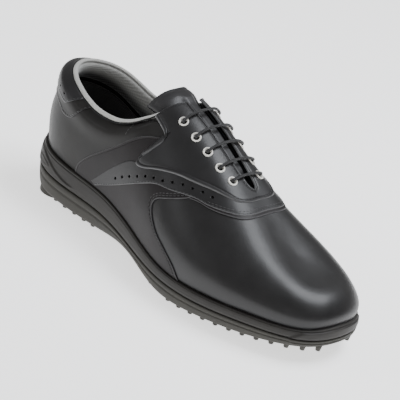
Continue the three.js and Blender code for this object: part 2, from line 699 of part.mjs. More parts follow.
const CLEATS = [
  { name: 'toe', s: 2.55, share: 0.5, proud: 0.6 },
  { name: 'ball_lateral', s: 3.75, share: 0.21, proud: 0.4 },
  { name: 'ball_medial', s: 3.7, share: 0.79, proud: 0.4 },
  { name: 'waist_lateral', s: 4.95, share: 0.2, proud: -0.3 },
  { name: 'waist_medial', s: 4.9, share: 0.76, proud: -0.3 },
  { name: 'heel_lateral', s: 8.85, share: 0.23, proud: 1.1 },
  { name: 'heel_medial', s: 8.85, share: 0.77, proud: 1.1 },
];

// Each cleat stands on the tread's own slope, and proud is how far its seat is raised below the tread.
const cleatFrames = CLEATS.map(({ s, share, proud }) => {
  const normal = treadNormal(s, share);
  return standing(treadPoint(s, share).addScaledVector(normal, -proud), normal);
});
const cleatCentres = CLEATS.map(({ s, share }) => treadPoint(s, share));

const socketRadius = RECEPTACLE_RADIUS + FIT_GAP;
const socketDepth = RECEPTACLE_DEPTH + RECESS_DEPTH + FIT_GAP;
const receptacleCuts = cleatFrames.flatMap((frame) => [
  drum(CLEAT_RADIUS + FIT_GAP, CLEAT_RADIUS + FIT_GAP, -3, RECESS_DEPTH + FIT_GAP, 18).applyMatrix4(frame),
  drum(socketRadius, socketRadius, 0, socketDepth, 14).applyMatrix4(frame),
]);

function receptacleSolid() {
  const bore = STUD_RADIUS + STUD_CLEARANCE;
  const low = RECESS_DEPTH + FIT_GAP;
  const high = RECESS_DEPTH + RECEPTACLE_DEPTH;
  return turned([[bore, low], [RECEPTACLE_RADIUS, low], [RECEPTACLE_RADIUS, high], [bore, high]], 14);
}

// A cleat hangs below z = RECESS_DEPTH of its frame: disc, stud above it and a ring of splayed legs.
function cleatSolid() {
  const top = RECESS_DEPTH;
  const low = top - CLEAT_FLANGE;
  const body = drum(CLEAT_RADIUS - 2.5, CLEAT_RADIUS, low, top, 12);
  const stud = drum(STUD_RADIUS, STUD_RADIUS, top - 0.5, top + STUD_LENGTH, 6);
  const legs = [];
  for (let k = 0; k < CLEAT_LEGS; k++) {
    legs.push(drum(0.9, 2.0, -CLEAT_LEG_REACH, low + 0.6, 4)
      .translate(CLEAT_RADIUS - 2.6, 0, 0)
      .rotateZ((2 * Math.PI * (k + 0.5)) / CLEAT_LEGS));
  }
  return join(body, [stud, ...legs]);
}

// Even places round the sole for the nubs along its edge.
function edgeStations() {
  const steps = 2000;
  const us = [...Array(steps).keys()].map((k) => (ROUND * k) / (steps - 1));
  const runs = [0];
  us.slice(1).forEach((u, k) => {
    const step = solePoint(u, NUB_EDGE_INSET, treadZ).distanceTo(solePoint(us[k], NUB_EDGE_INSET, treadZ));
    runs.push(runs[k] + step);
  });
  const count = Math.round(runs.at(-1) / NUB_EDGE_PITCH);
  return [...Array(count).keys()].map((n) => us[runs.findIndex((run) => run >= (n * runs.at(-1)) / count)]);
}

// Tread nubs on the forefoot and the heel, kept off the cleats and the waist. Tips over low tread reach
// the ground.
function nubSolids() {
  const nubs = [];
  const place = (s, share) => {
    const foot = treadPoint(s, share);
    const clearance = CLEAT_RADIUS + FIT_GAP + NUB_ROOT + 0.8;
    const isClear = cleatCentres.every((c) => Math.hypot(c.x - foot.x, c.y - foot.y) > clearance);
    const isOverWaist = s > 5.45 && s < 6.95;
    if (!isClear || isOverWaist) return;
    const tip = Math.max(0, foot.z - NUB_REACH);
    nubs.push(drum(NUB_TIP, NUB_ROOT, tip, foot.z + 2.5, 4).translate(foot.x, foot.y, 0));
  };
  let s = 0.8;
  while (s < 10.3) {
    const [lateral, medial] = [treadPoint(s, 0), treadPoint(s, 1)];
    const width = lateral.distanceTo(medial);
    const inner = width - 2 * NUB_EDGE_INSET;
    const gaps = Math.max(1, Math.round(inner / NUB_PITCH));
    for (let k = 1; k < gaps; k++) place(s, (NUB_EDGE_INSET + (inner * k) / gaps) / width);
    const here = treadPoint(s, 0.5).x;
    while (here - treadPoint(s, 0.5).x < NUB_PITCH && s < 10.3) s += 0.05;
  }
  edgeStations().forEach((u) => {
    const side = onLateral(u);
    const width = Math.max(treadPoint(side, 0).distanceTo(treadPoint(side, 1)), 2 * NUB_EDGE_INSET + 1);
    const share = NUB_EDGE_INSET / width;
    if (side > NUB_TOE && side < NUB_HEEL) place(side, u < HEEL ? share : 1 - share);
  });
  return nubs;
}

const heelPadCentre = treadPoint(8.2, 0.5);
const heelPad = drum(HEEL_PAD_RADIUS, HEEL_PAD_RADIUS + 0.8, 0, heelPadCentre.z + 1, 12)
  .translate(heelPadCentre.x, heelPadCentre.y, 0);

function outsoleSolid() {
  const clearOfPad = nubSolids().filter((nub) => {
    nub.computeBoundingBox();
    const centre = nub.boundingBox.getCenter(new THREE.Vector3());
    const off = Math.hypot(centre.x - heelPadCentre.x, centre.y - heelPadCentre.y);
    return off > HEEL_PAD_RADIUS + NUB_ROOT + 1.5;
  });
  return cut(join(ringSolid(outsoleRings), [...clearOfPad, heelPad]), receptacleCuts);
}

// The shank lies in the waist, on the line between the middles of the heel and the ball.
function shankSolid() {
  const section = [];
  const steps = 14;
  const middle = (u) => solePoint(u, CUP_INSET, midsoleFloor, 1);
  const centreX = middle(6.4).x;
  const route = [];
  for (let k = 0; k <= steps; k++) {
    const x = centreX + SHANK_LENGTH * (k / steps - 0.5);
    let [low, high] = [3, 10];
    for (let n = 0; n < 40; n++) {
      const mid = (low + high) / 2;
      if (middle(mid).x > x) low = mid;
      else high = mid;
    }
    route.push(middle(low));
  }
  for (const lift of [LAYER_GAP, LAYER_GAP + SHANK_THICKNESS]) {
    for (const side of [-0.5, 0.5]) {
      section.push(route.map((p) => [p.x, p.y + side * SHANK_WIDTH, p.z + lift]));
    }
  }
  const positions = section.flat(2);
  const count = steps + 1;
  const indices = [];
  const quad = (a, b, c, d) => indices.push(a, b, c, a, c, d);
  const loop = [0, 1, 3, 2];
  for (let k = 0; k < steps; k++) {
    loop.forEach((strip, n) => {
      const next = loop[(n + 1) % 4];
      quad(strip * count + k, strip * count + k + 1, next * count + k + 1, next * count + k);
    });
  }
  quad(0, count, 3 * count, 2 * count);
  quad(steps, 2 * count + steps, 3 * count + steps, count + steps);
  return closed(positions, indices);
}

// ---------------------------------------------------------------- assembly

const finish = (color, roughness, metalness = 0) => ({ color, roughness, metalness });
const FINISHES = {
  leather: finish(0x151416, 0.32),
  overlay: finish(0x19181a, 0.34),
  lining: finish(0x2a2a2b, 0.9),
  binding: finish(0xc8c7c2, 0.7),
  foam: finish(0x303031, 0.95),
  sole: finish(0x4a4642, 0.6),
  tread: finish(0x55524a, 0.65),
  board: finish(0x8d7b60, 0.9),
  footbed: finish(0x3a3a3c, 0.9),
  stiffener: finish(0xb8ad98, 0.8),
  steel: finish(0x9a9c9f, 0.35, 1),
  eyelet: finish(0xd8d6cf, 0.3, 0.8),
  lace: finish(0x121213, 0.6),
  insert: finish(0x3c3d3b, 0.5),
  cleat: finish(0x5d6b5c, 0.5),
};

const shoe = new THREE.Group();
shoe.name = 'golf_shoe';

function add(name, finishName, geometry, frame) {
  const material = new THREE.MeshStandardMaterial(FINISHES[finishName]);
  const mesh = new THREE.Mesh(geometry, material);
  mesh.name = name;
  if (frame) frame.decompose(mesh.position, mesh.quaternion, mesh.scale);
  shoe.add(mesh);
}

function addPair(name, finishName, patch, steps, [inner, outer], cuts = []) {
  for (const [side, sided] of [['lateral', patch], ['medial', mirrored(patch)]]) {
    const solid = panel(sided, steps, inner, outer);
    add(`${side}_${name}`, finishName, cuts.length ? cut(solid, cuts) : solid);
  }
}

add('outsole', 'tread', outsoleSolid());
add('midsole', 'sole', ringSolid(midsoleRings));
add('shank', 'steel', shankSolid());
add('insole_board', 'board', ringSolid(plateRings(CUP_INSET + LAYER_GAP, boardLow, boardTop)));
const footbedTop = raised(featherZ, 0.2 + FOOTBED_THICKNESS);
add('footbed', 'footbed', ringSolid(plateRings(FOOTBED_INSET, raised(featherZ, 0.2), footbedTop)));

add('vamp', 'leather', panel(endsTrimmed(vampPatch(), 140), [34, 7], ...OUTER));
addPair('quarter', 'leather', quarterPatch(), [10, 10], OUTER);
addPair('heel_panel', 'leather', heelPatch, [14, 8], OUTER);
addPair('facing_stay', 'lining', facingPatch, [10, 4], OUTER, eyeletHoles);
add('eyestay', 'overlay', cut(panel(eyestayPatch, [32, 7], ...OVERLAY), eyeletHoles));
add('perforated_band', 'overlay', panel(bandPatch, [50, 1], ...OVERLAY));
add('backstay_tab', 'overlay', panel(backstayPatch, [16, 3], ...OVERLAY));
add('collar_pad', 'foam', panel(collarPatch, [28, 2], ...FOAM));
add('collar_binding', 'binding', bindingSolid());
add('quarter_lining', 'lining', panel(quarterLiningPatch, [30, 4], ...LINED));
add('vamp_lining', 'lining', panel(vampLiningPatch, [30, 6], ...LINED));
add('tongue', 'leather', panel(tonguePatch, [20, 14], ...TONGUE, tongueLift));
add('heel_counter', 'stiffener', panel(counterPatch, [18, 4], ...STIFF));
add('toe_puff', 'stiffener', panel(puffPatch, [16, 6], ...STIFF));

for (let row = 0; row < EYELET_PAIRS; row++) {
  add(`lateral_eyelet_${row + 1}`, 'eyelet', eyeletSolid(), eyeletFrame(row, false));
  add(`medial_eyelet_${row + 1}`, 'eyelet', eyeletSolid(), eyeletFrame(row, true));
}

add('shoelace', 'lace', laceSolid());

CLEATS.forEach(({ name }, k) => {
  add(`${name}_receptacle`, 'insert', receptacleSolid(), cleatFrames[k]);
  add(`${name}_cleat`, 'cleat', cleatSolid(), cleatFrames[k]);
});

// The frame's origin is the middle of the shoe's box, on the ground.
const box = new THREE.Box3().setFromObject(shoe);
shoe.position.set(-(box.min.x + box.max.x) / 2, -(box.min.y + box.max.y) / 2, -box.min.z);

export default shoe;
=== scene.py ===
"""A laced golf shoe: black leather upper, padded collar, moulded sole and seven twist-lock cleats.

Everything is drawn over one last. Its surface has two parameters: u runs from 0 at the toe, along the
lateral side, to 11 at the heel and back along the medial side to 22; v runs from 0 at the sole to 5 on
the crest. Pattern lines are given in (u, v) and heights above the last in millimetres.
"""
import logging
import math
from dataclasses import dataclass, field
from enum import Enum
from typing import Callable, Iterable, Sequence

import bmesh
import bpy
import numpy as np
from mathutils import Matrix, Vector, noise


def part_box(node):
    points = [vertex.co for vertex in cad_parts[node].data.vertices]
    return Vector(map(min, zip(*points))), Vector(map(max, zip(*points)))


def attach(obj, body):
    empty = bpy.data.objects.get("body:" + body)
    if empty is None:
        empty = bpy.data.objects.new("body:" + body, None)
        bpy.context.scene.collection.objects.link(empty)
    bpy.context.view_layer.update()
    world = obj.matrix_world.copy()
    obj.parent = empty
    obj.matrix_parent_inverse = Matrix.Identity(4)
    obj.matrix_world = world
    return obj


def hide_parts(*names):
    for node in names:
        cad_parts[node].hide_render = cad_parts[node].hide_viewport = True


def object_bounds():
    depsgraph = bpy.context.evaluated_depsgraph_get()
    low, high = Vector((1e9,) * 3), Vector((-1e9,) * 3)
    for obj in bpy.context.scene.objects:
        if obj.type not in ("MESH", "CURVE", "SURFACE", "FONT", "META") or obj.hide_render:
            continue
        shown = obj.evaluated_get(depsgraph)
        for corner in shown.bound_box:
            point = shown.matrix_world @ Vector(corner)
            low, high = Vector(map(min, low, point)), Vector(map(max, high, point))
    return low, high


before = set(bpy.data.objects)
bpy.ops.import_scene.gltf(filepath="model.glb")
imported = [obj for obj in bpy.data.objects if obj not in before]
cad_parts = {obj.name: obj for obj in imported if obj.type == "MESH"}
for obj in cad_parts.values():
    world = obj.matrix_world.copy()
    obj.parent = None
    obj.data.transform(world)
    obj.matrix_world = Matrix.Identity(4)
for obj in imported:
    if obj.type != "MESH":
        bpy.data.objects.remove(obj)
CAD_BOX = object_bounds()

LOG = logging.getLogger("golf_shoe")
MM = 0.001
Patch = Callable[[np.ndarray, np.ndarray], np.ndarray]
Rule = Callable[[np.ndarray], np.ndarray]
Ring = Callable[[np.ndarray], tuple[np.ndarray, np.ndarray, float]]
Colour = tuple[float, float, float]


class Slot(Enum):
    """The record's material slots."""

    UPPER = "upper_leather"
    OVERLAY = "overlay_leather"
    TONGUE = "tongue_leather"
    LINING = "lining_textile"
    COLLAR = "collar_textile"
    BINDING = "binding_textile"
    SOLE = "sole_rubber"
    TREAD = "tread_rubber"
    BOARD = "board"
    FOOTBED = "footbed_foam"
    STIFFENER = "stiffener"
    SHANK = "shank_steel"
    EYELET = "eyelet_metal"
    LACE = "lace_cord"
    RECEPTACLE = "receptacle_plastic"
    CLEAT = "cleat_plastic"


class Side(Enum):
    """The two sides of the shoe."""

    LATERAL = "lateral"
    MEDIAL = "medial"


# ---- the last


@dataclass(frozen=True)
class Station:
    """One cross-section of the last: plan points, heights and the fullness of its wall, in millimetres."""

    lateral: tuple[float, float]
    medial: tuple[float, float]
    crest: tuple[float, float, float]
    feather: float
    groove: float
    tread: float
    full: float
    bulge: float


STATIONS = (
    Station((146, 2.5), (146, 2.5), (100, 3, 51), 31, 21.5, 14.5, 0.79, 2),
    Station((140, -23), (142, 27), (100, 2, 51), 27.5, 20.5, 13.5, 0.76, 2),
    Station((122, -39.5), (124, 44), (96, 1, 53.5), 26, 19.5, 12, 0.76, 2),
    Station((92, -52), (94, 55), (80, 1, 61), 25.5, 18.5, 8, 0.71, 3),
    Station((56, -62), (60, 56), (52, 1, 76), 23.5, 16, 6, 0.56, 3),
    Station((16, -62), (24, 47), (16, 2.5, 96), 22.5, 15.5, 2, 0.46, 2),
    Station((-24, -48.5), (-18, 37), (-22, 4.5, 116.5), 29.5, 18.5, 15.5, 0.58, 2),
    Station((-64, -38), (-62, 35.5), (-56, 4.5, 124), 36, 21.5, 5, 0.8, 2),
    Station((-102, -39.5), (-102, 38), (-84, 2.5, 122), 37.5, 21.5, 5.5, 0.88, 3),
    Station((-132, -35.5), (-132, 35), (-100, 0, 118.5), 39, 22, 5.5, 0.88, 4),
    Station((-151, -19), (-151, 19), (-108, 0, 116), 41, 22.5, 8, 0.9, 5),
    Station((-156, 0), (-156, 0), (-110, 0, 115), 42.5, 23, 9, 0.95, 6),
)
HEEL = len(STATIONS) - 1
ROUND = 2 * HEEL
SPINE = 5
SOLE_LEDGE = 4.0


def blend_weights(t: np.ndarray) -> np.ndarray:
    """The weights of a cubic B-spline's four control points.

    Args:
        t: Places inside a span, 0 to 1.

    Returns:
        The weights along a new last axis.
    """
    r = 1 - t
    weights = [r ** 3, 3 * t ** 3 - 6 * t ** 2 + 4, -3 * t ** 3 + 3 * t ** 2 + 3 * t + 1, t ** 3]
    return np.stack(weights, -1) / 6


def smooth(low: float, high: float, x: np.ndarray) -> np.ndarray:
    """A soft step over x from 0 at low to 1 at high, which may lie below low."""
    t = np.clip((np.asarray(x, float) - low) / (high - low), 0, 1)
    return t * t * (3 - 2 * t)


def on_lateral(u: np.ndarray) -> np.ndarray:
    """The matching u on the lateral side, 0 to HEEL."""
    w = np.mod(u, ROUND)
    return np.minimum(w, ROUND - w)


class Last:
    """The surface of the foot-shaped last, and the outline of the sole under it."""

    def __init__(self) -> None:
        """Works out the control net once."""
        both = [STATIONS[min(i, ROUND - i)] for i in range(ROUND)]
        edge = np.array([s.lateral if i <= HEEL else s.medial for i, s in enumerate(both)], float)
        along = np.roll(edge, -1, 0) - np.roll(edge, 1, 0)
        along /= np.linalg.norm(along, axis=1, keepdims=True)
        self.edge = edge
        self.outward = np.stack([-along[:, 1], along[:, 0]], 1)
        self.feather = np.array([s.feather for s in both])
        self.groove = np.array([s.groove for s in both])
        self.tread = np.array([s.tread for s in both])
        self.net = self._net(both)
        self.shift = np.zeros(3)
        low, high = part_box("midsole")
        u = np.linspace(0, ROUND, 1200)
        plan = self.sole(u, 0 * u, 0 * u)[:, :2]
        middle = (plan.min(0) + plan.max(0)) / 2
        self.shift = np.array([(low.x + high.x) / 2 - middle[0], (low.y + high.y) / 2 - middle[1], 0])

    def _net(self, both: Sequence[Station]) -> np.ndarray:
        """Builds the net's rows, with one ghost row below and two past the crest.

        Args:
            both: The stations once round the shoe.

        Returns:
            An array of rows by stations by coordinates, in millimetres.
        """
        rows = []
        start = self.edge - SOLE_LEDGE * self.outward
        crest = np.array([s.crest for s in both], float)
        slack = np.array([1 - s.full for s in both])
        bulge = np.array([s.bulge for s in both], float)
        zero = np.zeros(ROUND)
        shares = (
            (zero, 0.0, zero),
            (zero, 0.3, bulge),
            (slack * 0.45, 0.62, bulge * 0.6),
            (slack + 0.04, 0.9, zero),
            (0.62 + 0.2 * slack, 1.0, zero),
            (zero + 1, 1.0, zero),
        )
        for inward, height, outward in shares:
            plan = start + (crest[:, :2] - start) * inward[:, None] + self.outward * outward[:, None]
            rows.append(np.column_stack([plan, self.feather + (crest[:, 2] - self.feather) * height]))
        other = (ROUND - np.arange(ROUND)) % ROUND
        return np.array([2 * rows[0] - rows[1], *rows, rows[4][other], rows[3][other]])

    def _spread(self, table: np.ndarray, u: np.ndarray) -> np.ndarray:
        """Blends a table with one row a station at the given u.

        Args:
            table: Values by station.
            u: Places round the shoe.

        Returns:
            The blended values.
        """
        cell = np.floor(u).astype(int)
        weights = blend_weights(u - cell)
        picked = table[(cell[..., None] + np.arange(-1, 3)) % ROUND]
        return np.einsum("...k,...k->...", weights, picked)

    def point(self, u: np.ndarray, v: np.ndarray) -> np.ndarray:
        """Points of the last's surface, in its own millimetres.

        Args:
            u: Places round the shoe.
            v: Places from the sole to the crest.

        Returns:
            One point a place.
        """
        u, v = np.broadcast_arrays(np.asarray(u, float), np.asarray(v, float))
        u = np.where(v > SPINE - 1e-6, on_lateral(u), u)
        v = np.minimum(v, SPINE)
        row = np.minimum(np.floor(v).astype(int), SPINE - 1)
        cell = np.floor(u).astype(int)
        rows = row[..., None] + np.arange(4)
        cells = (cell[..., None] + np.arange(-1, 3)) % ROUND
        net = self.net[rows[..., :, None], cells[..., None, :]]
        return np.einsum("...r,...k,...rkc->...c", blend_weights(v - row), blend_weights(u - cell), net)

    def normal(self, u: np.ndarray, v: np.ndarray) -> np.ndarray:
        """Outward normals of the last's surface.

        Args:
            u: Places round the shoe.
            v: Places from the sole to the crest.

        Returns:
            One unit vector a place.
        """
        u, v = np.broadcast_arrays(np.asarray(u, float), np.asarray(v, float))
        u = np.where(v > SPINE - 1e-6, on_lateral(u), u)
        step = 0.01
        side = on_lateral(u)
        reach = 1.3 * smooth(4.0, 4.7, v)
        sign = np.where(np.mod(u, ROUND) > HEEL, -1.0, 1.0)
        w = np.where(side < reach, sign * (reach - (reach - side) ** 2 / np.maximum(2 * reach, 1e-9)), u)
        du = self.point(w + step, v) - self.point(w - step, v)
        limit = SPINE - 2e-6
        dv = self.point(w, np.minimum(v + step, limit)) - self.point(w, np.minimum(v, limit) - step)
        turn = -np.cross(du, dv)
        return turn / np.maximum(np.linalg.norm(turn, axis=-1, keepdims=True), 1e-12)

    def over(self, uv: np.ndarray, lift: np.ndarray | float) -> np.ndarray:
        """Points at a height above the last, in metres in the shared frame.

        Args:
            uv: Places, the last axis holding u and v.
            lift: Height above the last in millimetres.

        Returns:
            One point a place.
        """
        u, v = uv[..., 0], uv[..., 1]
        lift = np.broadcast_to(np.asarray(lift, float), u.shape)[..., None]
        return (self.point(u, v) + self.normal(u, v) * lift + self.shift_mm()) * MM

    def shift_mm(self) -> np.ndarray:
        """From the last's own origin to the shared frame's, in millimetres."""
        return self.shift * 1000

    def sole(self, u: np.ndarray, inset: np.ndarray, z: np.ndarray, depth: float = 0) -> np.ndarray:
        """Points round the sole, in metres in the shared frame.

        Args:
            u: Places round the shoe.
            inset: Distance in from the edge, in millimetres.
            z: Height in millimetres.
            depth: 1 draws the point onto the middle line.

        Returns:
            One point a place.
        """
        u, inset, z = np.broadcast_arrays(u, inset, z)
        side = on_lateral(u)

        def edge(w: np.ndarray) -> np.ndarray:
            """The outline at w, set in."""
            return np.stack([self._spread(self.edge[:, k], w) - self._spread(self.outward[:, k], w) * inset
                             for k in (0, 1)], -1)

        middle = (edge(side) + edge(ROUND - side)) / 2
        plan = edge(u) * (1 - depth) + middle * depth
        return (np.concatenate([plan, z[..., None]], -1) + self.shift_mm()) * MM

    def height(self, name: str, u: np.ndarray) -> np.ndarray:
        """The height in millimetres of the "feather", "groove" or "tread" line at u."""
        return self._spread(getattr(self, name), on_lateral(np.asarray(u, float)))

    def tread_point(self, s: float, share: float) -> Vector:
        """A point of the tread.

        Args:
            s: Station from the toe.
            share: 0 on the lateral edge to 1 on the medial edge.

        Returns:
            The point in metres.
        """
        u = np.array([s, ROUND - s])
        lateral, medial = self.sole(u, 0 * u, self.height("tread", u))
        return Vector(lateral + (medial - lateral) * share)

    def tread_normal(self, s: float, share: float) -> Vector:
        """The tread's upward normal at a point, with the arguments of tread_point."""
        step = 0.05
        along = self.tread_point(s + step, share) - self.tread_point(s - step, share)
        across = self.tread_point(s, share + step) - self.tread_point(s, share - step)
        normal = along.cross(across).normalized()
        return -normal if normal.z < 0 else normal


# ---- pattern lines


class Seam:
    """A smooth line through pattern points, in (u, v)."""

    def __init__(self, *points: tuple[float, float]) -> None:
        """Keeps the points that the line passes, in order."""
        self.points = np.array(points, float)

    def at(self, t: np.ndarray) -> np.ndarray:
        """Places on the line.

        Args:
            t: 0 at its start to 1 at its end.

        Returns:
            The places, u and v along the last axis.
        """
        last = len(self.points) - 1
        where = np.clip(np.asarray(t, float), 0, 1) * last
        cell = np.minimum(np.floor(where).astype(int), last - 1)
        w = (where - cell)[..., None]
        p0, p1, p2, p3 = (self.points[np.clip(cell + k, 0, last)] for k in (-1, 0, 1, 2))
        return p1 + 0.5 * w * (p2 - p0 + w * (2 * p0 - 5 * p1 + 4 * p2 - p3 + w * (3 * (p1 - p2) + p3 - p0)))

    def both(self, s: np.ndarray) -> np.ndarray:
        """Runs up the lateral side to the line's end and back down the medial side.

        Args:
            s: 0 at the lateral start to 1 at the medial start.

        Returns:
            The places, with a negative u on the medial side.
        """
        s = np.asarray(s, float)
        place = self.at(1 - np.abs(2 * s - 1))
        place[..., 0] *= np.where(s > 0.5, -1, 1)
        return place

    def share_at(self, u: float) -> float:
        """How far along the line its u comes down to a value."""
        shares = np.linspace(0, 1, 600)
        return float(shares[np.argmax(self.at(shares)[:, 0] < u)])

    def height_at(self, u: np.ndarray) -> np.ndarray:
        """The line's v over each u of the lateral side."""
        dense = self.at(np.linspace(0, 1, 600))
        return np.interp(u, dense[:, 0], dense[:, 1])


LOW_EDGE = 0.03
TOPLINE = Seam((6.46, 4.2), (6.58, 3.12), (6.82, 2.56), (7.09, 2.22), (7.4, 2.06), (7.84, 2.06),
               (8.28, 2.22), (8.82, 2.46), (9.5, 2.68), (10.31, 2.83), (HEEL, 2.88))
HEEL_SEAM = Seam((7.92, LOW_EDGE), (7.86, 0.35), (7.62, 0.77), (7.09, 1.48), (6.62, 2.21), (6.1, 2.72))
WAVE = Seam((4.46, LOW_EDGE), (4.66, 0.42), (4.94, 0.66), (5.25, 0.81), (5.46, 0.95), (5.6, 1.12),
            (5.66, 1.3), (5.6, 1.5), (5.42, 1.72), (5.22, 1.98), (5.06, 2.24), (5.0, 2.5))
EYESTAY_OUTER = Seam((6.58, 2.95), (6.4, 2.86), (6.22, 2.76), (6.16, 2.58), (6.26, 2.19), (6.38, 1.86),
                     (6.42, 1.6), (6.24, 1.65), (5.93, 1.94), (5.53, 2.3), (5.12, 2.63), (4.74, 3.03),
                     (4.44, 3.43), (4.27, 3.81), (4.18, 4.35), (4.16, SPINE))
EYESTAY_INNER = Seam((6.41, 4.5), (6.19, 4.45), (5.8, 4.51), (5.43, 4.57), (5.08, 4.66), (4.74, 4.76),
                     (4.5, 4.84), (4.4, SPINE))
BAND_LOWER = Seam((7.3, 0.08), (6.85, 0.5), (6.41, 0.99), (6.08, 1.37), (5.75, 1.68), (5.38, 1.94),
                  (4.91, 2.36), (4.59, 2.58), (4.3, 2.89), (4.04, 3.33), (3.91, 3.78), (3.85, 4.38),
                  (3.84, SPINE))
BAND_UPPER = Seam((7.4, 0.16), (7.2, 0.5), (6.95, 0.95), (6.6, 1.5), (6.24, 1.74), (5.93, 2.02),
                  (5.53, 2.38), (5.12, 2.72), (4.74, 3.13), (4.46, 3.55), (4.3, 3.9), (4.22, 4.4),
                  (4.2, SPINE))
VAMP_TOP = Seam((5.0, 2.65), (4.88, 2.8), (4.7, 3.05), (4.44, 3.55), (4.25, 4.0), (4.15, 4.5),
                (4.12, SPINE))
PANEL_TOP = Seam((6.1, 2.72), (6.3, 2.84), (6.48, 2.86), (6.78, 2.55), (7.09, 2.22), (7.4, 2.06),
                 (7.84, 2.06), (8.28, 2.22), (8.82, 2.46), (9.5, 2.68), (10.31, 2.83), (HEEL, 2.88))
TAB_LOW = Seam((8.3, 2.22), (8.46, 2.04), (8.62, 1.88), (8.76, 1.82), (9.12, 1.9), (9.73, 1.98),
               (10.4, 2.0), (HEEL, 2.0))
FLAP_LOW = Seam((8.0, 2.08), (8.11, 1.95), (8.24, 1.69), (8.44, 1.48), (8.74, 1.47), (8.99, 1.6),
                (9.6, 1.72), (HEEL, 1.76))
HOLES = Seam((6.77, 0.81), (6.57, 1.06), (6.35, 1.29), (6.17, 1.49), (5.98, 1.69), (5.8, 1.82),
             (5.62, 1.98), (5.43, 2.19), (5.25, 2.36), (5.08, 2.5), (4.91, 2.67), (4.71, 2.84))
EYELETS = Seam((4.68, 4.02), (5.0, 3.8), (5.36, 3.68), (5.7, 3.6), (6.08, 3.58))


def mix(a: np.ndarray, b: np.ndarray, t: np.ndarray) -> np.ndarray:
    """Places between a and b, t of the way."""
    return a + (b - a) * np.asarray(t, float)[..., None]


def ruled(low: Rule, high: Rule) -> Patch:
    """The patch between a low and a high edge, both from s."""
    return lambda s, t: mix(low(s), high(s), t)


def framed(low: Rule, high: Rule, left: Rule, right: Rule) -> Patch:
    """A patch inside four edges that meet at their ends.

    Args:
        low: The edge at t = 0, from s.
        high: The edge at t = 1, from s.
        left: The edge at s = 0, from t.
        right: The edge at s = 1, from t.

    Returns:
        The patch.
    """
    def patch(s: np.ndarray, t: np.ndarray) -> np.ndarray:
        """The place at (s, t)."""
        zero, one = np.zeros_like(s), np.ones_like(s)
        corners = mix(mix(low(zero), low(one), s), mix(high(zero), high(one), s), t)
        return mix(low(s), high(s), t) + mix(left(t), right(t), s) - corners

    return patch


def sided(patch: Patch, side: Side) -> Patch:
    """The patch itself on the lateral side, or its mirror image on the medial side.

    Args:
        patch: A patch on the lateral side.
        side: Where it goes.

    Returns:
        The patch on that side.
    """
    if side is Side.LATERAL:
        return patch

    def mirror(s: np.ndarray, t: np.ndarray) -> np.ndarray:
        """The mirrored place at (s, t)."""
        place = patch(1 - s, t)
        return np.stack([ROUND - place[..., 0], place[..., 1]], -1)

    return mirror


# ---- mesh helpers


def grid(columns: int, rows: int) -> tuple[bmesh.types.BMesh, np.ndarray]:
    """A flat grid to be shaped.

    Args:
        columns: Cells along s.
        rows: Cells along t.

    Returns:
        The bmesh, and the whole-number column and row of each of its vertices.
    """
    bm = bmesh.new()
    bmesh.ops.create_grid(bm, x_segments=columns, y_segments=rows, size=0.5)
    flat = np.array([v.co[:2] for v in bm.verts])
    return bm, np.rint((flat + 0.5) * [columns, rows]).astype(int)


def shape(bm: bmesh.types.BMesh, points: np.ndarray, chart: np.ndarray) -> None:
    """Moves a grid's vertices into place and keeps a chart of them as its UV map.

    Args:
        bm: The grid.
        points: One place a vertex, in metres.
        chart: One pair a vertex, in metres along the surface.
    """
    layer = bm.loops.layers.uv.new("chart")
    for vertex, place in zip(bm.verts, points):
        vertex.co = place
    for face in bm.faces:
        for loop in face.loops:
            loop[layer].uv = chart[loop.vert.index]


def weld(bm: bmesh.types.BMesh, reach: float = 2e-5) -> None:
    """Merges vertices that meet, drops collapsed faces and turns the closed shell outward.

    Args:
        bm: The mesh.
        reach: How close vertices are that merge, in metres.
    """
    bmesh.ops.remove_doubles(bm, verts=bm.verts[:], dist=reach)
    bmesh.ops.dissolve_degenerate(bm, edges=bm.edges[:], dist=1e-7)
    bmesh.ops.recalc_face_normals(bm, faces=bm.faces[:])


def face_out(bm: bmesh.types.BMesh, outward: np.ndarray) -> None:
    """Turns an open sheet so that its faces look along the given normals.

    Args:
        bm: The sheet.
        outward: One normal a vertex.
    """
    bm.verts.index_update()
    bm.normal_update()
    agree = sum(face.normal.dot(Vector(outward[face.verts[0].index])) for face in bm.faces)
    if agree < 0:
        bmesh.ops.reverse_faces(bm, faces=bm.faces[:])


def cone(bm: bmesh.types.BMesh, sides: int, low: float, high: float, height: float,
         place: Matrix) -> list[bmesh.types.BMVert]:
    """Adds a capped cone.

    Args:
        bm: The mesh that it joins.
        sides: How many sides it has.
        low: Its radius at the low end, in millimetres.
        high: Its radius at the high end.
        height: Its height in metres.
        place: The matrix that stands its middle in place.

    Returns:
        Its vertices.
    """
    made = bmesh.ops.create_cone(bm, cap_ends=True, segments=sides, radius1=low * MM, radius2=high * MM,
                                 depth=height, matrix=place)
    return made["verts"]


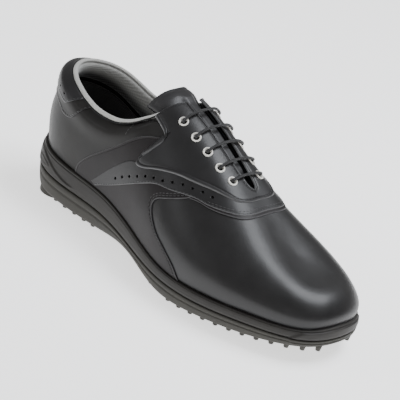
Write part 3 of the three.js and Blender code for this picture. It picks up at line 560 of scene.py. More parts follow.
def tube(path: np.ndarray, radius: float, sides: int, flatten: float = 1.0) -> bmesh.types.BMesh:
    """A closed tube along a path, with rounded-off ends.

    Args:
        path: Its middle line, in metres.
        radius: Its radius in metres.
        sides: How many sides it has.
        flatten: The height of its section as a share of its width.

    Returns:
        The tube, charted along and around.
    """
    count = len(path)
    bm, cell = grid(sides, count + 1)
    ahead = np.gradient(path, axis=0)
    ahead /= np.linalg.norm(ahead, axis=1, keepdims=True)
    rise = np.zeros_like(ahead)
    start = np.array([0.0, 0.0, 1.0])
    for k in range(count):
        start = start - ahead[k] * np.dot(start, ahead[k])
        start /= np.linalg.norm(start)
        rise[k] = start
    across = np.cross(ahead, rise)
    length = np.concatenate([[0], np.cumsum(np.linalg.norm(np.diff(path, axis=0), axis=1))])
    ring = np.clip(cell[:, 1] - 1, 0, count - 1)
    wide = np.where((cell[:, 1] == 0) | (cell[:, 1] == count + 1), 0.0, 1.0)[:, None]
    angle = cell[:, 0] * 2 * math.pi / sides
    offset = across[ring] * np.cos(angle)[:, None] + rise[ring] * np.sin(angle)[:, None] * flatten
    around = cell[:, 0] * 2 * math.pi * radius / sides
    shape(bm, path[ring] + offset * wide * radius, np.column_stack([length[ring], around]))
    weld(bm, 1e-6)
    return bm


def resample(points: np.ndarray, pitch: float) -> np.ndarray:
    """Even places along a line of points.

    Args:
        points: The line, in metres, closely spaced.
        pitch: The wanted distance between places, in metres.

    Returns:
        Indices into the line, as fractions.
    """
    run = np.concatenate([[0], np.cumsum(np.linalg.norm(np.diff(points, axis=0), axis=1))])
    count = max(2, int(round(run[-1] / pitch)))
    return np.interp(np.linspace(0, run[-1], count + 1), run, np.arange(len(points)))


def part(name: str, bm: bmesh.types.BMesh, material: bpy.types.Material, slot: Slot, *nodes: str,
         body: str = "root", flat: bool = False) -> bpy.types.Object:
    """Makes a finished piece from a mesh.

    Args:
        name: The piece's name.
        bm: Its mesh, which is used up.
        material: Its finish.
        slot: The record's slot for the piece; not used.
        nodes: The CAD nodes that it replaces.
        body: The body that it rides on.
        flat: True to shade it faceted.

    Returns:
        The piece.
    """
    mesh = bpy.data.meshes.new(name)
    bm.to_mesh(mesh)
    bm.free()
    mesh.polygons.foreach_set("use_smooth", [not flat] * len(mesh.polygons))
    mesh.materials.append(material)
    obj = bpy.data.objects.new(name, mesh)
    bpy.context.scene.collection.objects.link(obj)
    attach(obj, body)
    if nodes:
        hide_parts(*nodes)
    LOG.info("%s: %d faces", name, len(mesh.polygons))
    return obj


def solidified(obj: bpy.types.Object, thickness: float) -> None:
    """Gives a sheet its thickness, inwards.

    Args:
        obj: The sheet.
        thickness: In millimetres.
    """
    solid = obj.modifiers.new("thickness", "SOLIDIFY")
    solid.thickness = thickness * MM
    solid.offset = -1
    solid.use_even_offset = False


def carve(obj: bpy.types.Object, tool: bmesh.types.BMesh) -> None:
    """Cuts a tool's shape out of a piece and keeps the result as its mesh.

    Args:
        obj: The piece.
        tool: The mesh to cut with, which is used up.
    """
    mesh = bpy.data.meshes.new("cutter")
    tool.to_mesh(mesh)
    tool.free()
    cutter = bpy.data.objects.new("cutter", mesh)
    bpy.context.scene.collection.objects.link(cutter)
    boolean = obj.modifiers.new("holes", "BOOLEAN")
    boolean.operation = "DIFFERENCE"
    boolean.solver = "EXACT"
    boolean.object = cutter
    bpy.context.view_layer.update()
    result = bpy.data.meshes.new_from_object(obj.evaluated_get(bpy.context.evaluated_depsgraph_get()))
    if len(result.polygons) == 0:
        raise RuntimeError(f"{obj.name}: the cut left nothing")
    obj.modifiers.clear()
    old = obj.data
    obj.data = result
    bpy.data.meshes.remove(old)
    bpy.data.objects.remove(cutter)
    bpy.data.meshes.remove(mesh)


# ---- finishes


class Wire:
    """A shader socket that takes part in sums."""

    def __init__(self, graph: "Graph", socket: bpy.types.NodeSocket) -> None:
        """Wraps an output socket of a graph."""
        self.graph = graph
        self.socket = socket

    def _sum(self, operation: str, first: "Wire | float", second: "Wire | float") -> "Wire":
        """The result of a Math node on two values."""
        return self.graph.wire("ShaderNodeMath", {"operation": operation}, {0: first, 1: second})

    def __add__(self, other: "Wire | float") -> "Wire":
        """The sum."""
        return self._sum("ADD", self, other)

    __radd__ = __add__

    def __sub__(self, other: "Wire | float") -> "Wire":
        """The difference."""
        return self._sum("SUBTRACT", self, other)

    def __rsub__(self, other: float) -> "Wire":
        """The difference, the other way round."""
        return self._sum("SUBTRACT", other, self)

    def __mul__(self, other: "Wire | float") -> "Wire":
        """The product."""
        return self._sum("MULTIPLY", self, other)

    __rmul__ = __mul__

    def __pow__(self, other: float) -> "Wire":
        """The power."""
        return self._sum("POWER", self, other)

    def wave(self) -> "Wire":
        """The sine."""
        return self._sum("SINE", self, 0.0)

    def size(self) -> "Wire":
        """The absolute value."""
        return self._sum("ABSOLUTE", self, 0.0)


class Graph:
    """The node graph of one material."""

    def __init__(self, name: str) -> None:
        """Starts a material with one Principled shader.

        Args:
            name: The material's name.
        """
        self.material = bpy.data.materials.new(name)
        self.material.use_nodes = True
        self.tree = self.material.node_tree
        self.shader = self.tree.nodes["Principled BSDF"]

    def node(self, kind: str, settings: dict, values: dict) -> bpy.types.Node:
        """Adds a node.

        Args:
            kind: Its type.
            settings: Its properties, and "stops" for a colour ramp.
            values: Its sockets' values or wires, by name or number.

        Returns:
            The node.
        """
        node = self.tree.nodes.new(kind)
        for key, value in settings.items():
            if key == "stops":
                ramp = node.color_ramp
                for place, colour in value[1:-1]:
                    ramp.elements.new(place).color = (*colour, 1)
                for end, (place, colour) in ((0, value[0]), (-1, value[-1])):
                    ramp.elements[end].position = place
                    ramp.elements[end].color = (*colour, 1)
            else:
                setattr(node, key, value)
        for key, value in values.items():
            if isinstance(value, Wire):
                self.tree.links.new(value.socket, node.inputs[key])
            elif isinstance(value, tuple) and len(value) == 3 and node.inputs[key].type == "RGBA":
                node.inputs[key].default_value = (*value, 1)
            else:
                node.inputs[key].default_value = value
        return node

    def wire(self, kind: str, settings: dict, values: dict, output: int | str = 0) -> Wire:
        """Adds a node and wraps one of its outputs, with the arguments of node and the output's name."""
        return Wire(self, self.node(kind, settings, values).outputs[output])

    def place(self) -> Wire:
        """The point of the surface in the piece's own space."""
        return self.wire("ShaderNodeTexCoord", {}, {}, "Object")

    def chart(self) -> Wire:
        """The point of the surface on the piece's own chart."""
        return self.wire("ShaderNodeUVMap", {"uv_map": "chart"}, {})

    def noise(self, at: Wire, size: float, detail: float = 3.0, rough: float = 0.55) -> Wire:
        """Noise round 0.5 with clouds of a size in metres, and the number and strength of finer octaves."""
        values = {"Vector": at, "Scale": 1 / size, "Detail": detail, "Roughness": rough}
        return self.wire("ShaderNodeTexNoise", {}, values)

    def cells(self, at: Wire, size: float, feature: str = "F1") -> Wire:
        """Distances in a field of cells, with their size in metres and the Voronoi feature to read."""
        return self.wire("ShaderNodeTexVoronoi", {"feature": feature}, {"Vector": at, "Scale": 1 / size})

    def remap(self, value: Wire, low: float, high: float, to_low: float = 0.0, to_high: float = 1.0) -> Wire:
        """Stretches a value from one range to another and clamps it."""
        values = {0: value, 1: low, 2: high, 3: to_low, 4: to_high}
        return self.wire("ShaderNodeMapRange", {"clamp": True}, values)

    def tint(self, share: Wire, first: Colour | Wire, second: Colour | Wire) -> Wire:
        """Mixes two colours by a share."""
        return self.wire("ShaderNodeMix", {"data_type": "RGBA"}, {0: share, 6: first, 7: second}, 2)

    def finish(self, colour: Wire | Colour, rough: Wire | float, height: Wire | None, depth: float,
               **plain: float | Colour) -> bpy.types.Material:
        """Connects the shader.

        Args:
            colour: The base colour.
            rough: The roughness.
            height: What the bump reads, 0 to 1.
            depth: The bump's depth in metres.
            plain: Even values of the shader's other sockets, with _ for a space.

        Returns:
            The material.
        """
        wires: dict = {"Base Color": colour, "Roughness": rough}
        if height is not None:
            bump = {"Strength": 1.0, "Distance": depth, "Height": height}
            wires["Normal"] = self.wire("ShaderNodeBump", {}, bump)
        for key, value in {**wires, **{k.replace("_", " "): v for k, v in plain.items()}}.items():
            socket = self.shader.inputs[key]
            if isinstance(value, Wire):
                self.tree.links.new(value.socket, socket)
            else:
                socket.default_value = (*value, 1) if isinstance(value, tuple) else value
        return self.material


@dataclass(frozen=True)
class Leather:
    """Smooth dyed leather: fine pebbled grain, pores, soft creases, an uneven wax, and turned edges lightened
    as a burnished edge with a painted highlight.
    """

    name: str
    deep: Colour = (0.0045, 0.0043, 0.0048)
    worn: Colour = (0.0115, 0.0108, 0.0112)
    # edge: colour of the turned edges, partly a burnished edge and partly a painted highlight where the edges
    # catch the light.
    edge: Colour = (0.085, 0.084, 0.086)
    gloss: float = 0.36
    spread: float = 0.10
    grain: float = 0.0009
    relief: float = 0.00004
    coat: float = 0.12
    shine: float = 0.40

    def material(self) -> bpy.types.Material:
        """Builds the material."""
        graph = Graph(self.name)
        at = graph.place()
        patchy = graph.noise(at, 0.022, 4.0)
        swirl = graph.wire("ShaderNodeTexNoise", {}, {"Vector": at, "Scale": 900.0, "Detail": 1.0}, "Color")
        shake = graph.wire("ShaderNodeVectorMath", {"operation": "SCALE"}, {0: swirl, "Scale": 0.0005})
        bent = graph.wire("ShaderNodeVectorMath", {"operation": "ADD"}, {0: at, 1: shake})
        pebble = graph.remap(graph.cells(bent, self.grain, "DISTANCE_TO_EDGE"), 0.0, 0.35)
        pores = graph.remap(graph.cells(at, self.grain * 2.3), 0.06, 0.22)
        creases = graph.noise(at, 0.006, 3.0, 0.6)
        height = pebble * 0.45 + pores * 0.2 + creases * 1.6
        # The wear mask mixes the edge colour into the turned edges: a burnished edge with a painted highlight
        # along it.
        wear = graph.wire("ShaderNodeAttribute", {"attribute_name": "wear"}, {}, "Fac")
        colour = graph.tint(graph.remap(patchy, 0.3, 0.75) * 0.8 + (1 - pebble) * 0.2, self.deep, self.worn)
        colour = graph.tint(wear * graph.remap(creases, 0.2, 0.6, 0.6, 1.0), colour, self.edge)
        rough = graph.remap(patchy, 0.25, 0.75, self.gloss - self.spread / 2, self.gloss + self.spread / 2)
        rough = rough + (1 - pebble) * 0.08
        return graph.finish(colour, rough, height, self.relief, Coat_Weight=self.coat, Coat_Roughness=0.25,
                            Specular_IOR_Level=self.shine)


@dataclass(frozen=True)
class Textile:
    """Knitted or woven cloth, drawn along the piece's chart."""

    name: str
    dark: Colour
    light: Colour
    pitch: float = 0.0011
    relief: float = 0.00025
    rough: float = 0.85
    sheen: float = 0.3
    twill: bool = False
    pale: Colour = (0.46, 0.46, 0.44)

    def material(self) -> bpy.types.Material:
        """Builds the material."""
        graph = Graph(self.name)
        chart = graph.chart()
        split = graph.node("ShaderNodeSeparateXYZ", {}, {0: chart})
        along, across = Wire(graph, split.outputs[0]), Wire(graph, split.outputs[1])
        turn = 2 * math.pi / self.pitch
        slope = along * (turn / 2) if self.twill else along * 0.0
        ribs = (across * turn + slope).wave() * 0.5 + 0.5
        loops = ((along * turn) + (across * (turn / 2)).wave() * 1.2).wave() * 0.5 + 0.5
        weave = ribs * 0.6 + loops * 0.4
        fluff = graph.noise(graph.place(), 0.0016, 3.0)
        shade = graph.remap(weave * 0.7 + fluff * 0.5, 0.25, 0.95)
        stains = graph.noise(graph.place(), 0.02, 2.0)
        colour = graph.tint(shade * 0.8 + stains * 0.2, self.dark, self.light)
        # The wear attribute mixes in the pale cloth: on the collar roll it is pale at the top and fades into
        # the dark knit below, a painted shade inside the shoe.
        pale_top_into_shade = graph.wire("ShaderNodeAttribute", {"attribute_name": "wear"}, {}, "Fac")
        colour = graph.tint(pale_top_into_shade * graph.remap(shade, 0.0, 1.0, 0.75, 1.0), colour, self.pale)
        rough = graph.remap(weave, 0, 1, self.rough, self.rough - 0.12)
        return graph.finish(colour, rough, weave + fluff * 0.4, self.relief, Sheen_Weight=self.sheen,
                            Sheen_Roughness=0.5, Specular_IOR_Level=0.3)


@dataclass(frozen=True)
class Rubber:
    """Moulded rubber or plastic: fine spark texture, flow marks and patchy dust."""

    name: str
    base: Colour
    dusty: Colour
    rough: float = 0.55
    speckle: float = 0.0006
    relief: float = 0.00006
    coat: float = 0.0

    def material(self) -> bpy.types.Material:
        """Builds the material."""
        graph = Graph(self.name)
        at = graph.place()
        spark = graph.noise(at, self.speckle, 2.0, 0.7)
        clouds = graph.noise(at, 0.018, 4.0)
        stretched = graph.wire("ShaderNodeMapping", {}, {0: at, "Scale": (1.0, 1.0, 5.0)})
        streaks = graph.noise(stretched, 0.012, 2.0)
        dust = graph.remap(clouds * 0.7 + streaks * 0.3, 0.3, 0.7) * 0.8 + spark * 0.2
        colour = graph.tint(dust, self.base, self.dusty)
        rough = graph.remap(clouds, 0.3, 0.7, self.rough - 0.05, self.rough + 0.08)
        return graph.finish(colour, rough + spark * 0.05, spark * 0.6 + streaks * 0.8, self.relief,
                            Coat_Weight=self.coat, Coat_Roughness=0.3, Specular_IOR_Level=0.3)


@dataclass(frozen=True)
class Metal:
    """Plated or rolled metal with fine turning marks and dull spots."""

    name: str
    colour: Colour
    shadow: Colour
    rough: float = 0.25
    metallic: float = 1.0

    def material(self) -> bpy.types.Material:
        """Builds the material."""
        graph = Graph(self.name)
        at = graph.place()
        turned = graph.wire("ShaderNodeMapping", {}, {0: at, "Scale": (1.0, 6.0, 1.0)})
        marks = graph.noise(turned, 0.0008, 3.0)
        dull = graph.noise(at, 0.003, 3.0)
        colour = graph.tint(graph.remap(dull, 0.35, 0.75), self.colour, self.shadow)
        rough = graph.remap(dull + marks * 0.4, 0.4, 1.0, self.rough - 0.06, self.rough + 0.14)
        return graph.finish(colour, rough, marks, 0.00002, Metallic=self.metallic)


@dataclass(frozen=True)
class Thread:
    """Twisted or braided thread, drawn along and around the piece's chart."""

    name: str
    dark: Colour
    light: Colour
    pitch: float
    rough: float = 0.5
    relief: float = 0.0002

    def material(self) -> bpy.types.Material:
        """Builds the material."""
        graph = Graph(self.name)
        split = graph.node("ShaderNodeSeparateXYZ", {}, {0: graph.chart()})
        along, across = Wire(graph, split.outputs[0]), Wire(graph, split.outputs[1])
        turn = 2 * math.pi / self.pitch
        left = ((along + across) * turn).wave().size()
        right = ((along - across) * turn).wave().size()
        strands = (left * right) ** 0.5
        fuzz = graph.noise(graph.place(), 0.0004, 2.0)
        colour = graph.tint(strands * 0.8 + fuzz * 0.2, self.dark, self.light)
        return graph.finish(colour, graph.remap(fuzz, 0.3, 0.7, self.rough - 0.05, self.rough + 0.1),
                            strands + fuzz * 0.3, self.relief, Sheen_Weight=0.1, Specular_IOR_Level=0.5)


class Wardrobe:
    """All the finishes of the shoe, each made once."""

    def __init__(self) -> None:
        """Builds every finish."""
        self.leather = Leather("vamp_box_leather").material()
        # The overlays' turned edges are lighter still: a painted highlight along the eyestay, band and tab
        # rims.
        self.overlay = Leather("overlay_leather", (0.0052, 0.005, 0.0056), (0.0125, 0.012, 0.0128),
                               (0.11, 0.11, 0.112), 0.38).material()
        # Quarter and heel panel are one black leather in two tones: the heel's lighter, greyer tone is partly
        # painted light, for the light falling on the heel from the left and behind.
        self.quarter = Leather("quarter_leather", (0.0068, 0.0054, 0.0058), (0.0155, 0.0125, 0.0132),
                               gloss=0.42, coat=0.06, shine=0.24).material()
        self.heel = Leather("heel_leather", (0.0075, 0.0069, 0.0064), (0.0165, 0.0153, 0.0142), gloss=0.40,
                            coat=0.06, shine=0.26).material()
        self.tongue = Leather("tongue_soft_leather", (0.011, 0.011, 0.012), (0.024, 0.023, 0.024), gloss=0.42,
                              grain=0.0011, relief=0.00006, coat=0.1).material()
        self.stitch = Thread("bonded_thread", (0.025, 0.025, 0.025), (0.11, 0.11, 0.112), 0.0008,
                             0.4).material()
        self.lining = Textile("lining_mesh", (0.012, 0.0115, 0.011), (0.035, 0.034, 0.032), 0.0012).material()
        self.collar = Textile("collar_knit", (0.010, 0.0095, 0.009), (0.032, 0.031, 0.029), 0.0015).material()
        self.binding = Textile("binding_tape", (0.36, 0.36, 0.34), (0.62, 0.62, 0.59), 0.0009, 0.00018, 0.75,
                               0.25, True).material()
        self.piping = Leather("turned_edge", (0.003, 0.003, 0.003), (0.006, 0.006, 0.006), gloss=0.6,
                              coat=0.0).material()
        self.footbed = Textile("footbed_cover", (0.02, 0.02, 0.021), (0.05, 0.05, 0.052), 0.0016).material()
        self.midsole = Rubber("sidewall_rubber", (0.021, 0.0195, 0.018), (0.038, 0.0355, 0.0325),
                              0.5).material()
        self.outsole = Rubber("tread_rubber", (0.031, 0.0295, 0.0255), (0.054, 0.0515, 0.044),
                              0.56).material()
        self.cleat = Rubber("cleat_plastic", (0.060, 0.078, 0.062), (0.105, 0.125, 0.104), 0.42).material()
        self.eyelet = Metal("eyelet_enamel", (0.94, 0.92, 0.86), (0.78, 0.76, 0.69), 0.3, 0.15).material()
        self.lace = Thread("waxed_lace", (0.003, 0.003, 0.0034), (0.015, 0.015, 0.0165), 0.0022,
                           0.45).material()
        self.shank = Metal("spring_steel", (0.34, 0.35, 0.37), (0.2, 0.2, 0.21), 0.35).material()
        self.board = Rubber("fibre_board", (0.26, 0.2, 0.13), (0.36, 0.28, 0.19), 0.85, 0.0012).material()
        self.stiffener = Rubber("stiffener_fibre", (0.42, 0.38, 0.3), (0.55, 0.5, 0.4), 0.8, 0.001).material()
        self.receptacle = Rubber("receptacle_nylon", (0.035, 0.035, 0.034), (0.06, 0.06, 0.058),
                                 0.42).material()


# ---- leather panels

EDGE_STEPS = np.array([0, 0.12, 0.32, 0.6, 1.0, 1.5, 2.0, 2.4, 2.7, 3.0, 3.5])


@dataclass(frozen=True)
class Cut:
    """How one leather panel is cut and edged, in millimetres.

    Attributes:
        cells: Cells along s and along t.
        top: Height of its face above the last.
        thick: Its thickness.
        edges: Which edges are turned, rounded and lightened with a painted highlight: low, high, left and
            right.
        turn: Radius of the turned edge.
        roll: How much the edge swells.
        stitch: Distance of its stitch line from the edge, or 0 for none.
    """

    cells: tuple[int, int]
    top: float
    thick: float
    edges: tuple[bool, bool, bool, bool] = (True, True, True, True)
    turn: float = 0.7
    roll: float = 0.0
    stitch: float = 0.0


def close_steps(count: int, span: np.ndarray, low: bool, high: bool) -> np.ndarray:
    """Places across a panel, closer together at its turned edges.

    Args:
        count: How many cells.
        span: The panel's breadth in millimetres, one a line.
        low: True for a turned edge at 0.
        high: True for a turned edge at 1.

    Returns:
        For each line, its places from 0 to 1.
    """
    squeeze = np.minimum(1, 0.42 * span / EDGE_STEPS[-1])
    near = EDGE_STEPS[None, :] * (squeeze / span)[:, None]
    first = near if low else np.zeros((len(span), 1))
    final = 1 - near[:, ::-1] if high else np.ones((len(span), 1))
    inner = count + 1 - first.shape[1] - final.shape[1]
    share = np.linspace(0, 1, inner + 2)[None, 1:-1]
    middle = first[:, -1:] + (final[:, :1] - first[:, -1:]) * share
    return np.concatenate([first, middle, final], 1)


class Tailor:
    """Cuts leather panels and sews them."""

    def __init__(self, last: Last, wardrobe: Wardrobe) -> None:
        """Keeps the last that everything is drawn over, and the finishes."""
        self.last = last
        self.wardrobe = wardrobe

    def _spans(self, patch: Patch, lines: np.ndarray, along_s: bool) -> np.ndarray:
        """Lengths of a patch's lines in millimetres.

        Args:
            patch: The patch.
            lines: Where the lines cross it.
            along_s: True to measure along s, False along t.

        Returns:
            One length a line.
        """
        run = np.linspace(0, 1, 25)
        across, along = np.meshgrid(lines, run, indexing="ij")
        uv = patch(along, across) if along_s else patch(across, along)
        points = self.last.over(uv, 0.0) / MM
        return np.maximum(np.linalg.norm(np.diff(points, axis=1), axis=2).sum(1), 0.5)

    def sheet(self, patch: Patch, cut: Cut, lift: Rule | None = None) -> bmesh.types.BMesh:
        """Shapes a panel's face.

        Args:
            patch: Where it lies on the last.
            cut: How it is cut.
            lift: More height at each place, in millimetres.

        Returns:
            The open sheet, facing out.
        """
        columns, rows = cut.cells
        low, high, left, right = cut.edges
        span_s = self._spans(patch, np.linspace(0, 1, rows + 1), True)
        span_t = self._spans(patch, np.linspace(0, 1, columns + 1), False)
        places_s = close_steps(columns, span_s, left, right)
        places_t = close_steps(rows, span_t, low, high)
        bm, cell = grid(columns, rows)
        s, t = places_s[cell[:, 1], cell[:, 0]], places_t[cell[:, 0], cell[:, 1]]
        run_s, run_t = s * span_s[cell[:, 1]], t * span_t[cell[:, 0]]
        far_s, far_t = span_s[cell[:, 1]] - run_s, span_t[cell[:, 0]] - run_t
        far = np.full(len(s), 99.0)
        for wanted, distance in zip(cut.edges, (run_t, far_t, run_s, far_s)):
            if wanted:
                far = np.minimum(far, distance)
        uv = patch(s, t)
        height = np.full(len(s), cut.top) + (lift(uv) if lift else 0)
        height -= cut.turn * (1 - np.sqrt(1 - (1 - np.clip(far / cut.turn, 0, 1)) ** 2))
        height += cut.roll * np.exp(-((far - 1.4) / 0.9) ** 2)
        if cut.stitch:
            height -= 0.3 * np.exp(-((far - cut.stitch) / 0.4) ** 2)
        shape(bm, self.last.over(uv, height), np.column_stack([run_s, run_t]) * MM)
        # Mask along the turned edges that the leather lightens by: a burnished edge with a painted highlight.
        layer = bm.verts.layers.float.new("wear")
        for vertex, value in zip(bm.verts, np.exp(-((far - 0.35) / 0.5) ** 2)):
            vertex[layer] = float(value)
        face_out(bm, self.last.normal(uv[:, 0], uv[:, 1]))
        return bm

    def panel(self, name: str, patch: Patch, cut: Cut, material: bpy.types.Material, slot: Slot, *nodes: str,
              lift: Rule | None = None) -> bpy.types.Object:
        """Makes a panel, with the arguments of sheet and part.

        Returns:
            The finished panel.
        """
        obj = part(name, self.sheet(patch, cut, lift), material, slot, *nodes)
        solidified(obj, cut.thick)
        return obj

    def inset(self, edge: np.ndarray, toward: np.ndarray, distance: float) -> np.ndarray:
        """A pattern line a little way in from an edge.

        Args:
            edge: Places on the edge.
            toward: Places that lie inwards of them.
            distance: How far in, in millimetres.

        Returns:
            The places.
        """
        step = 0.02
        near = mix(edge, toward, np.full(edge.shape[:-1], step))
        size = np.linalg.norm(self.last.over(near, 0.0) - self.last.over(edge, 0.0), axis=-1) / MM
        return mix(edge, toward, step * distance / np.maximum(size, 1e-3))

    def sew(self, name: str, lines: Sequence[tuple[np.ndarray, float | np.ndarray]], length: float = 2.3,
            gap: float = 0.7, width: float = 0.6) -> bpy.types.Object:
        """Sews rows of stitches. Lengths are in millimetres.

        Args:
            name: The piece's name.
            lines: Each row's places in (u, v), closely spaced, and its height.
            length: Length of a stitch.
            gap: Space between stitches.
            width: Thickness of the thread.

        Returns:
            All the stitches as one piece.
        """
        bm = bmesh.new()
        bm.loops.layers.uv.new("chart")
        for uv, height in lines:
            points = self.last.over(uv, height)
            normals = self.last.normal(uv[:, 0], uv[:, 1])
            spots = resample(points, (length + gap) * MM)
            index = np.arange(len(points))
            where = np.stack([np.interp(spots, index, points[:, k]) for k in range(3)], 1)
            up = np.stack([np.interp(spots, index, normals[:, k]) for k in range(3)], 1)
            for a, b, normal in zip(where[:-1], where[1:], up[:-1]):
                ahead = Vector(b - a)
                if ahead.length < 0.4 * (length + gap) * MM:
                    continue
                axis = ahead.normalized()
                rise = (Vector(normal) - axis * Vector(normal).dot(axis)).normalized()
                turn = Matrix((axis, rise.cross(axis), rise)).transposed().to_4x4()
                size = Matrix.Diagonal((length / 2 * MM, width / 2 * MM, width / 2 * MM, 1))
                place = Matrix.Translation(Vector((a + b) / 2))
                bmesh.ops.create_uvsphere(bm, u_segments=5, v_segments=4, radius=1,
                                          matrix=place @ turn @ size @ Matrix.Rotation(math.pi / 2, 4, "Y"))
        return part(name, bm, self.wardrobe.stitch, Slot.OVERLAY)


@dataclass
class Upper:
    """The leather upper: vamp, quarters, heel panels, band, eyestay and the tabs at the back."""

    tailor: Tailor
    vamp_cut: Cut = Cut((180, 64), 0.9, 1.3, (False, False, False, False))
    quarter_cut: Cut = Cut((64, 64), 1.9, 1.0, (False, False, True, True), 0.6, stitch=2.4)
    heel_cut: Cut = Cut((80, 56), 0.9, 1.3, (False, False, False, True), 0.5)
    band_cut: Cut = Cut((300, 30), 2.6, 1.0, (True, False, False, False), 0.6, 0.15, stitch=1.7)
    eyestay_cut: Cut = Cut((300, 44), 3.0, 1.3, (True, True, True, True), 0.9, 0.45, stitch=2.7)
    strip_cut: Cut = Cut((200, 24), 1.9, 1.0, (True, False, False, False), 0.7)
    edge_width: float = 2.6
    flap_cut: Cut = Cut((110, 30), 1.9, 1.0, (True, False, True, True), 0.6, stitch=1.7)
    tab_cut: Cut = Cut((100, 30), 2.8, 1.0, (True, False, True, True), 0.6, stitch=1.7)
    hole_radius: float = 1.15
    hole_pitch: float = 8.4
    quarters: list[bpy.types.Object] = field(default_factory=list)

    def creases(self, uv: np.ndarray) -> np.ndarray:
        """The leather's gentle unevenness over the last, in millimetres, at each place."""
        points = self.tailor.last.point(uv[:, 0], uv[:, 1])
        wide = np.array([noise.noise(Vector(p) * 0.035) for p in points])
        fine = np.array([noise.noise(Vector(p) * 0.11 + Vector((7, 3, 1))) for p in points])
        return 0.28 * wide + 0.07 * fine

    def collar_puff(self, uv: np.ndarray) -> np.ndarray:
        """How far the padded collar pushes the leather out below the topline, in millimetres."""
        side = on_lateral(uv[:, 0])
        below = TOPLINE.height_at(side) - uv[:, 1]
        puff = np.exp(-((below - 0.42) / 0.3) ** 2) * smooth(6.5, 7.1, side)
        tuck = smooth(0.34, 0.0, below) * smooth(6.3, 6.7, side)
        return 2.5 * puff - 3.3 * tuck + self.creases(uv)

    def build(self) -> None:
        """Makes every piece of the upper."""
        self.vamp()
        for side in Side:
            self.side_panels(side)
        self.throat_strip()
        self.band()
        self.eyestay()
        self.back()
        self.stitching()

    def vamp(self) -> None:
        """The vamp runs round the toe. Its top edge follows the crest back to the throat."""
        last, throat, under = self.tailor.last, 0.4, 0.07

        def low(s: np.ndarray) -> np.ndarray:
            """The lasted edge."""
            return np.stack([(WAVE.points[0, 0] + under) * (2 * s - 1), np.full_like(s, LOW_EDGE)], -1)

        def high(s: np.ndarray) -> np.ndarray:
            """The throat's line, then the crest."""
            q = 1 - np.abs(2 * s - 1)
            line = VAMP_TOP.at(q / throat)
            crest = VAMP_TOP.points[-1, 0] * (1 - (q - throat) / (1 - throat))
            u = np.where(q <= throat, line[..., 0], crest)
            v = np.where(q <= throat, line[..., 1], SPINE)
            return np.stack([np.where(s < 0.5, -u, u), v], -1)

        def right(t: np.ndarray) -> np.ndarray:
            """The end under the lateral quarter."""
            return WAVE.at(t) + np.stack([under * (1 - 0.6 * t), 0.15 * smooth(0.5, 0.8, t)], -1)

        def left(t: np.ndarray) -> np.ndarray:
            """The end under the medial quarter."""
            return right(t) * [-1, 1]

        patch = framed(low, high, left, right)
        columns, rows = self.vamp_cut.cells
        bm, cell = grid(columns, rows)
        s, t = cell[:, 0] / columns, cell[:, 1] / rows
        uv = patch(s, t)
        shape(bm, last.over(uv, 0.0), np.column_stack([s * 0.28, t * 0.11]))
        for vertex, place, spread in zip(bm.verts, uv, self.creases(uv)):
            vertex.co = vertex.co + Vector(last.normal(*place)) * float(spread) * MM
        bmesh.ops.remove_doubles(bm, verts=bm.verts[:], dist=2e-5)
        self._ease_crown(bm)
        bm.normal_update()
        if sum(face.normal.z for face in bm.faces) < 0:
            bmesh.ops.reverse_faces(bm, faces=bm.faces[:])
            bm.normal_update()
        lifted = [vertex.co + vertex.normal * self.vamp_cut.top * MM for vertex in bm.verts]
        for vertex, place in zip(bm.verts, lifted):
            vertex.co = place
        obj = part("vamp_leather", bm, self.tailor.wardrobe.leather, Slot.UPPER, "vamp")
        solidified(obj, self.vamp_cut.thick)

    def _ease_crown(self, bm: bmesh.types.BMesh) -> None:
        """Rounds the leather where the crest ends over the toes, on a smooth fit to what lies round it.

        Args:
            bm: The vamp's sheet.
        """
        places = np.array([vertex.co for vertex in bm.verts]) / MM
        pole = self.tailor.last.over(np.array([0.35, SPINE]), 0.0) / MM
        flat = (places[:, :2] - pole[:2]) / 20
        far = np.linalg.norm(flat, axis=1) * 20
        near = (places[:, 2] > pole[2] - 14) & (far < 30)
        ring = np.flatnonzero(near & (far > 15) & (far < 26))[::7]

        def sway(a: np.ndarray, b: np.ndarray) -> np.ndarray:
            """The bending of a thin plate at a from a push at b."""
            square = np.maximum(((a[:, None] - b[None]) ** 2).sum(-1), 1e-12)
            return 0.5 * square * np.log(square)

        anchor = flat[ring]
        plane = np.column_stack([np.ones(len(anchor)), anchor])
        bend = sway(anchor, anchor) + 1e-4 * np.eye(len(anchor))
        left = np.block([[bend, plane], [plane.T, np.zeros((3, 3))]])
        push = np.linalg.solve(left, np.concatenate([places[ring, 2], np.zeros(3)]))
        share = smooth(20, 14, far) * near
        inner = share > 0
        height = places[:, 2].copy()
        dome = sway(flat[inner], anchor) @ push[:-3] + push[-3] + flat[inner] @ push[-2:]
        height[inner] += (dome - height[inner]) * share[inner]
        for vertex, z in zip(bm.verts, height):
            vertex.co.z = float(z) * MM

    def side_panels(self, side: Side) -> None:
        """The quarter and the heel panel of one side.

        Args:
            side: Which side.
        """
        wear = self.tailor.wardrobe

        def low(s: np.ndarray) -> np.ndarray:
            """The quarter's lasted edge."""
            return mix(WAVE.at(0 * s), HEEL_SEAM.at(0 * s), s)

        def high(s: np.ndarray) -> np.ndarray:
            """The quarter's top edge, hidden under the eyestay."""
            return mix(WAVE.at(0 * s + 1), HEEL_SEAM.at(0 * s + 1), s)

        quarter = framed(low, high, WAVE.at, HEEL_SEAM.at)
        cut = self._turned(self.quarter_cut, side)
        sheet = self.tailor.panel(f"{side.value}_quarter_leather", sided(quarter, side), cut, wear.quarter,
                                  Slot.UPPER, f"{side.value}_quarter", lift=self.creases)
        self.quarters.append(sheet)

        def back(t: np.ndarray) -> np.ndarray:
            """The heel panel's front edge, tucked under the quarter."""
            return HEEL_SEAM.at(t) - np.stack([0.08 * (1 - t), 0 * t], -1)

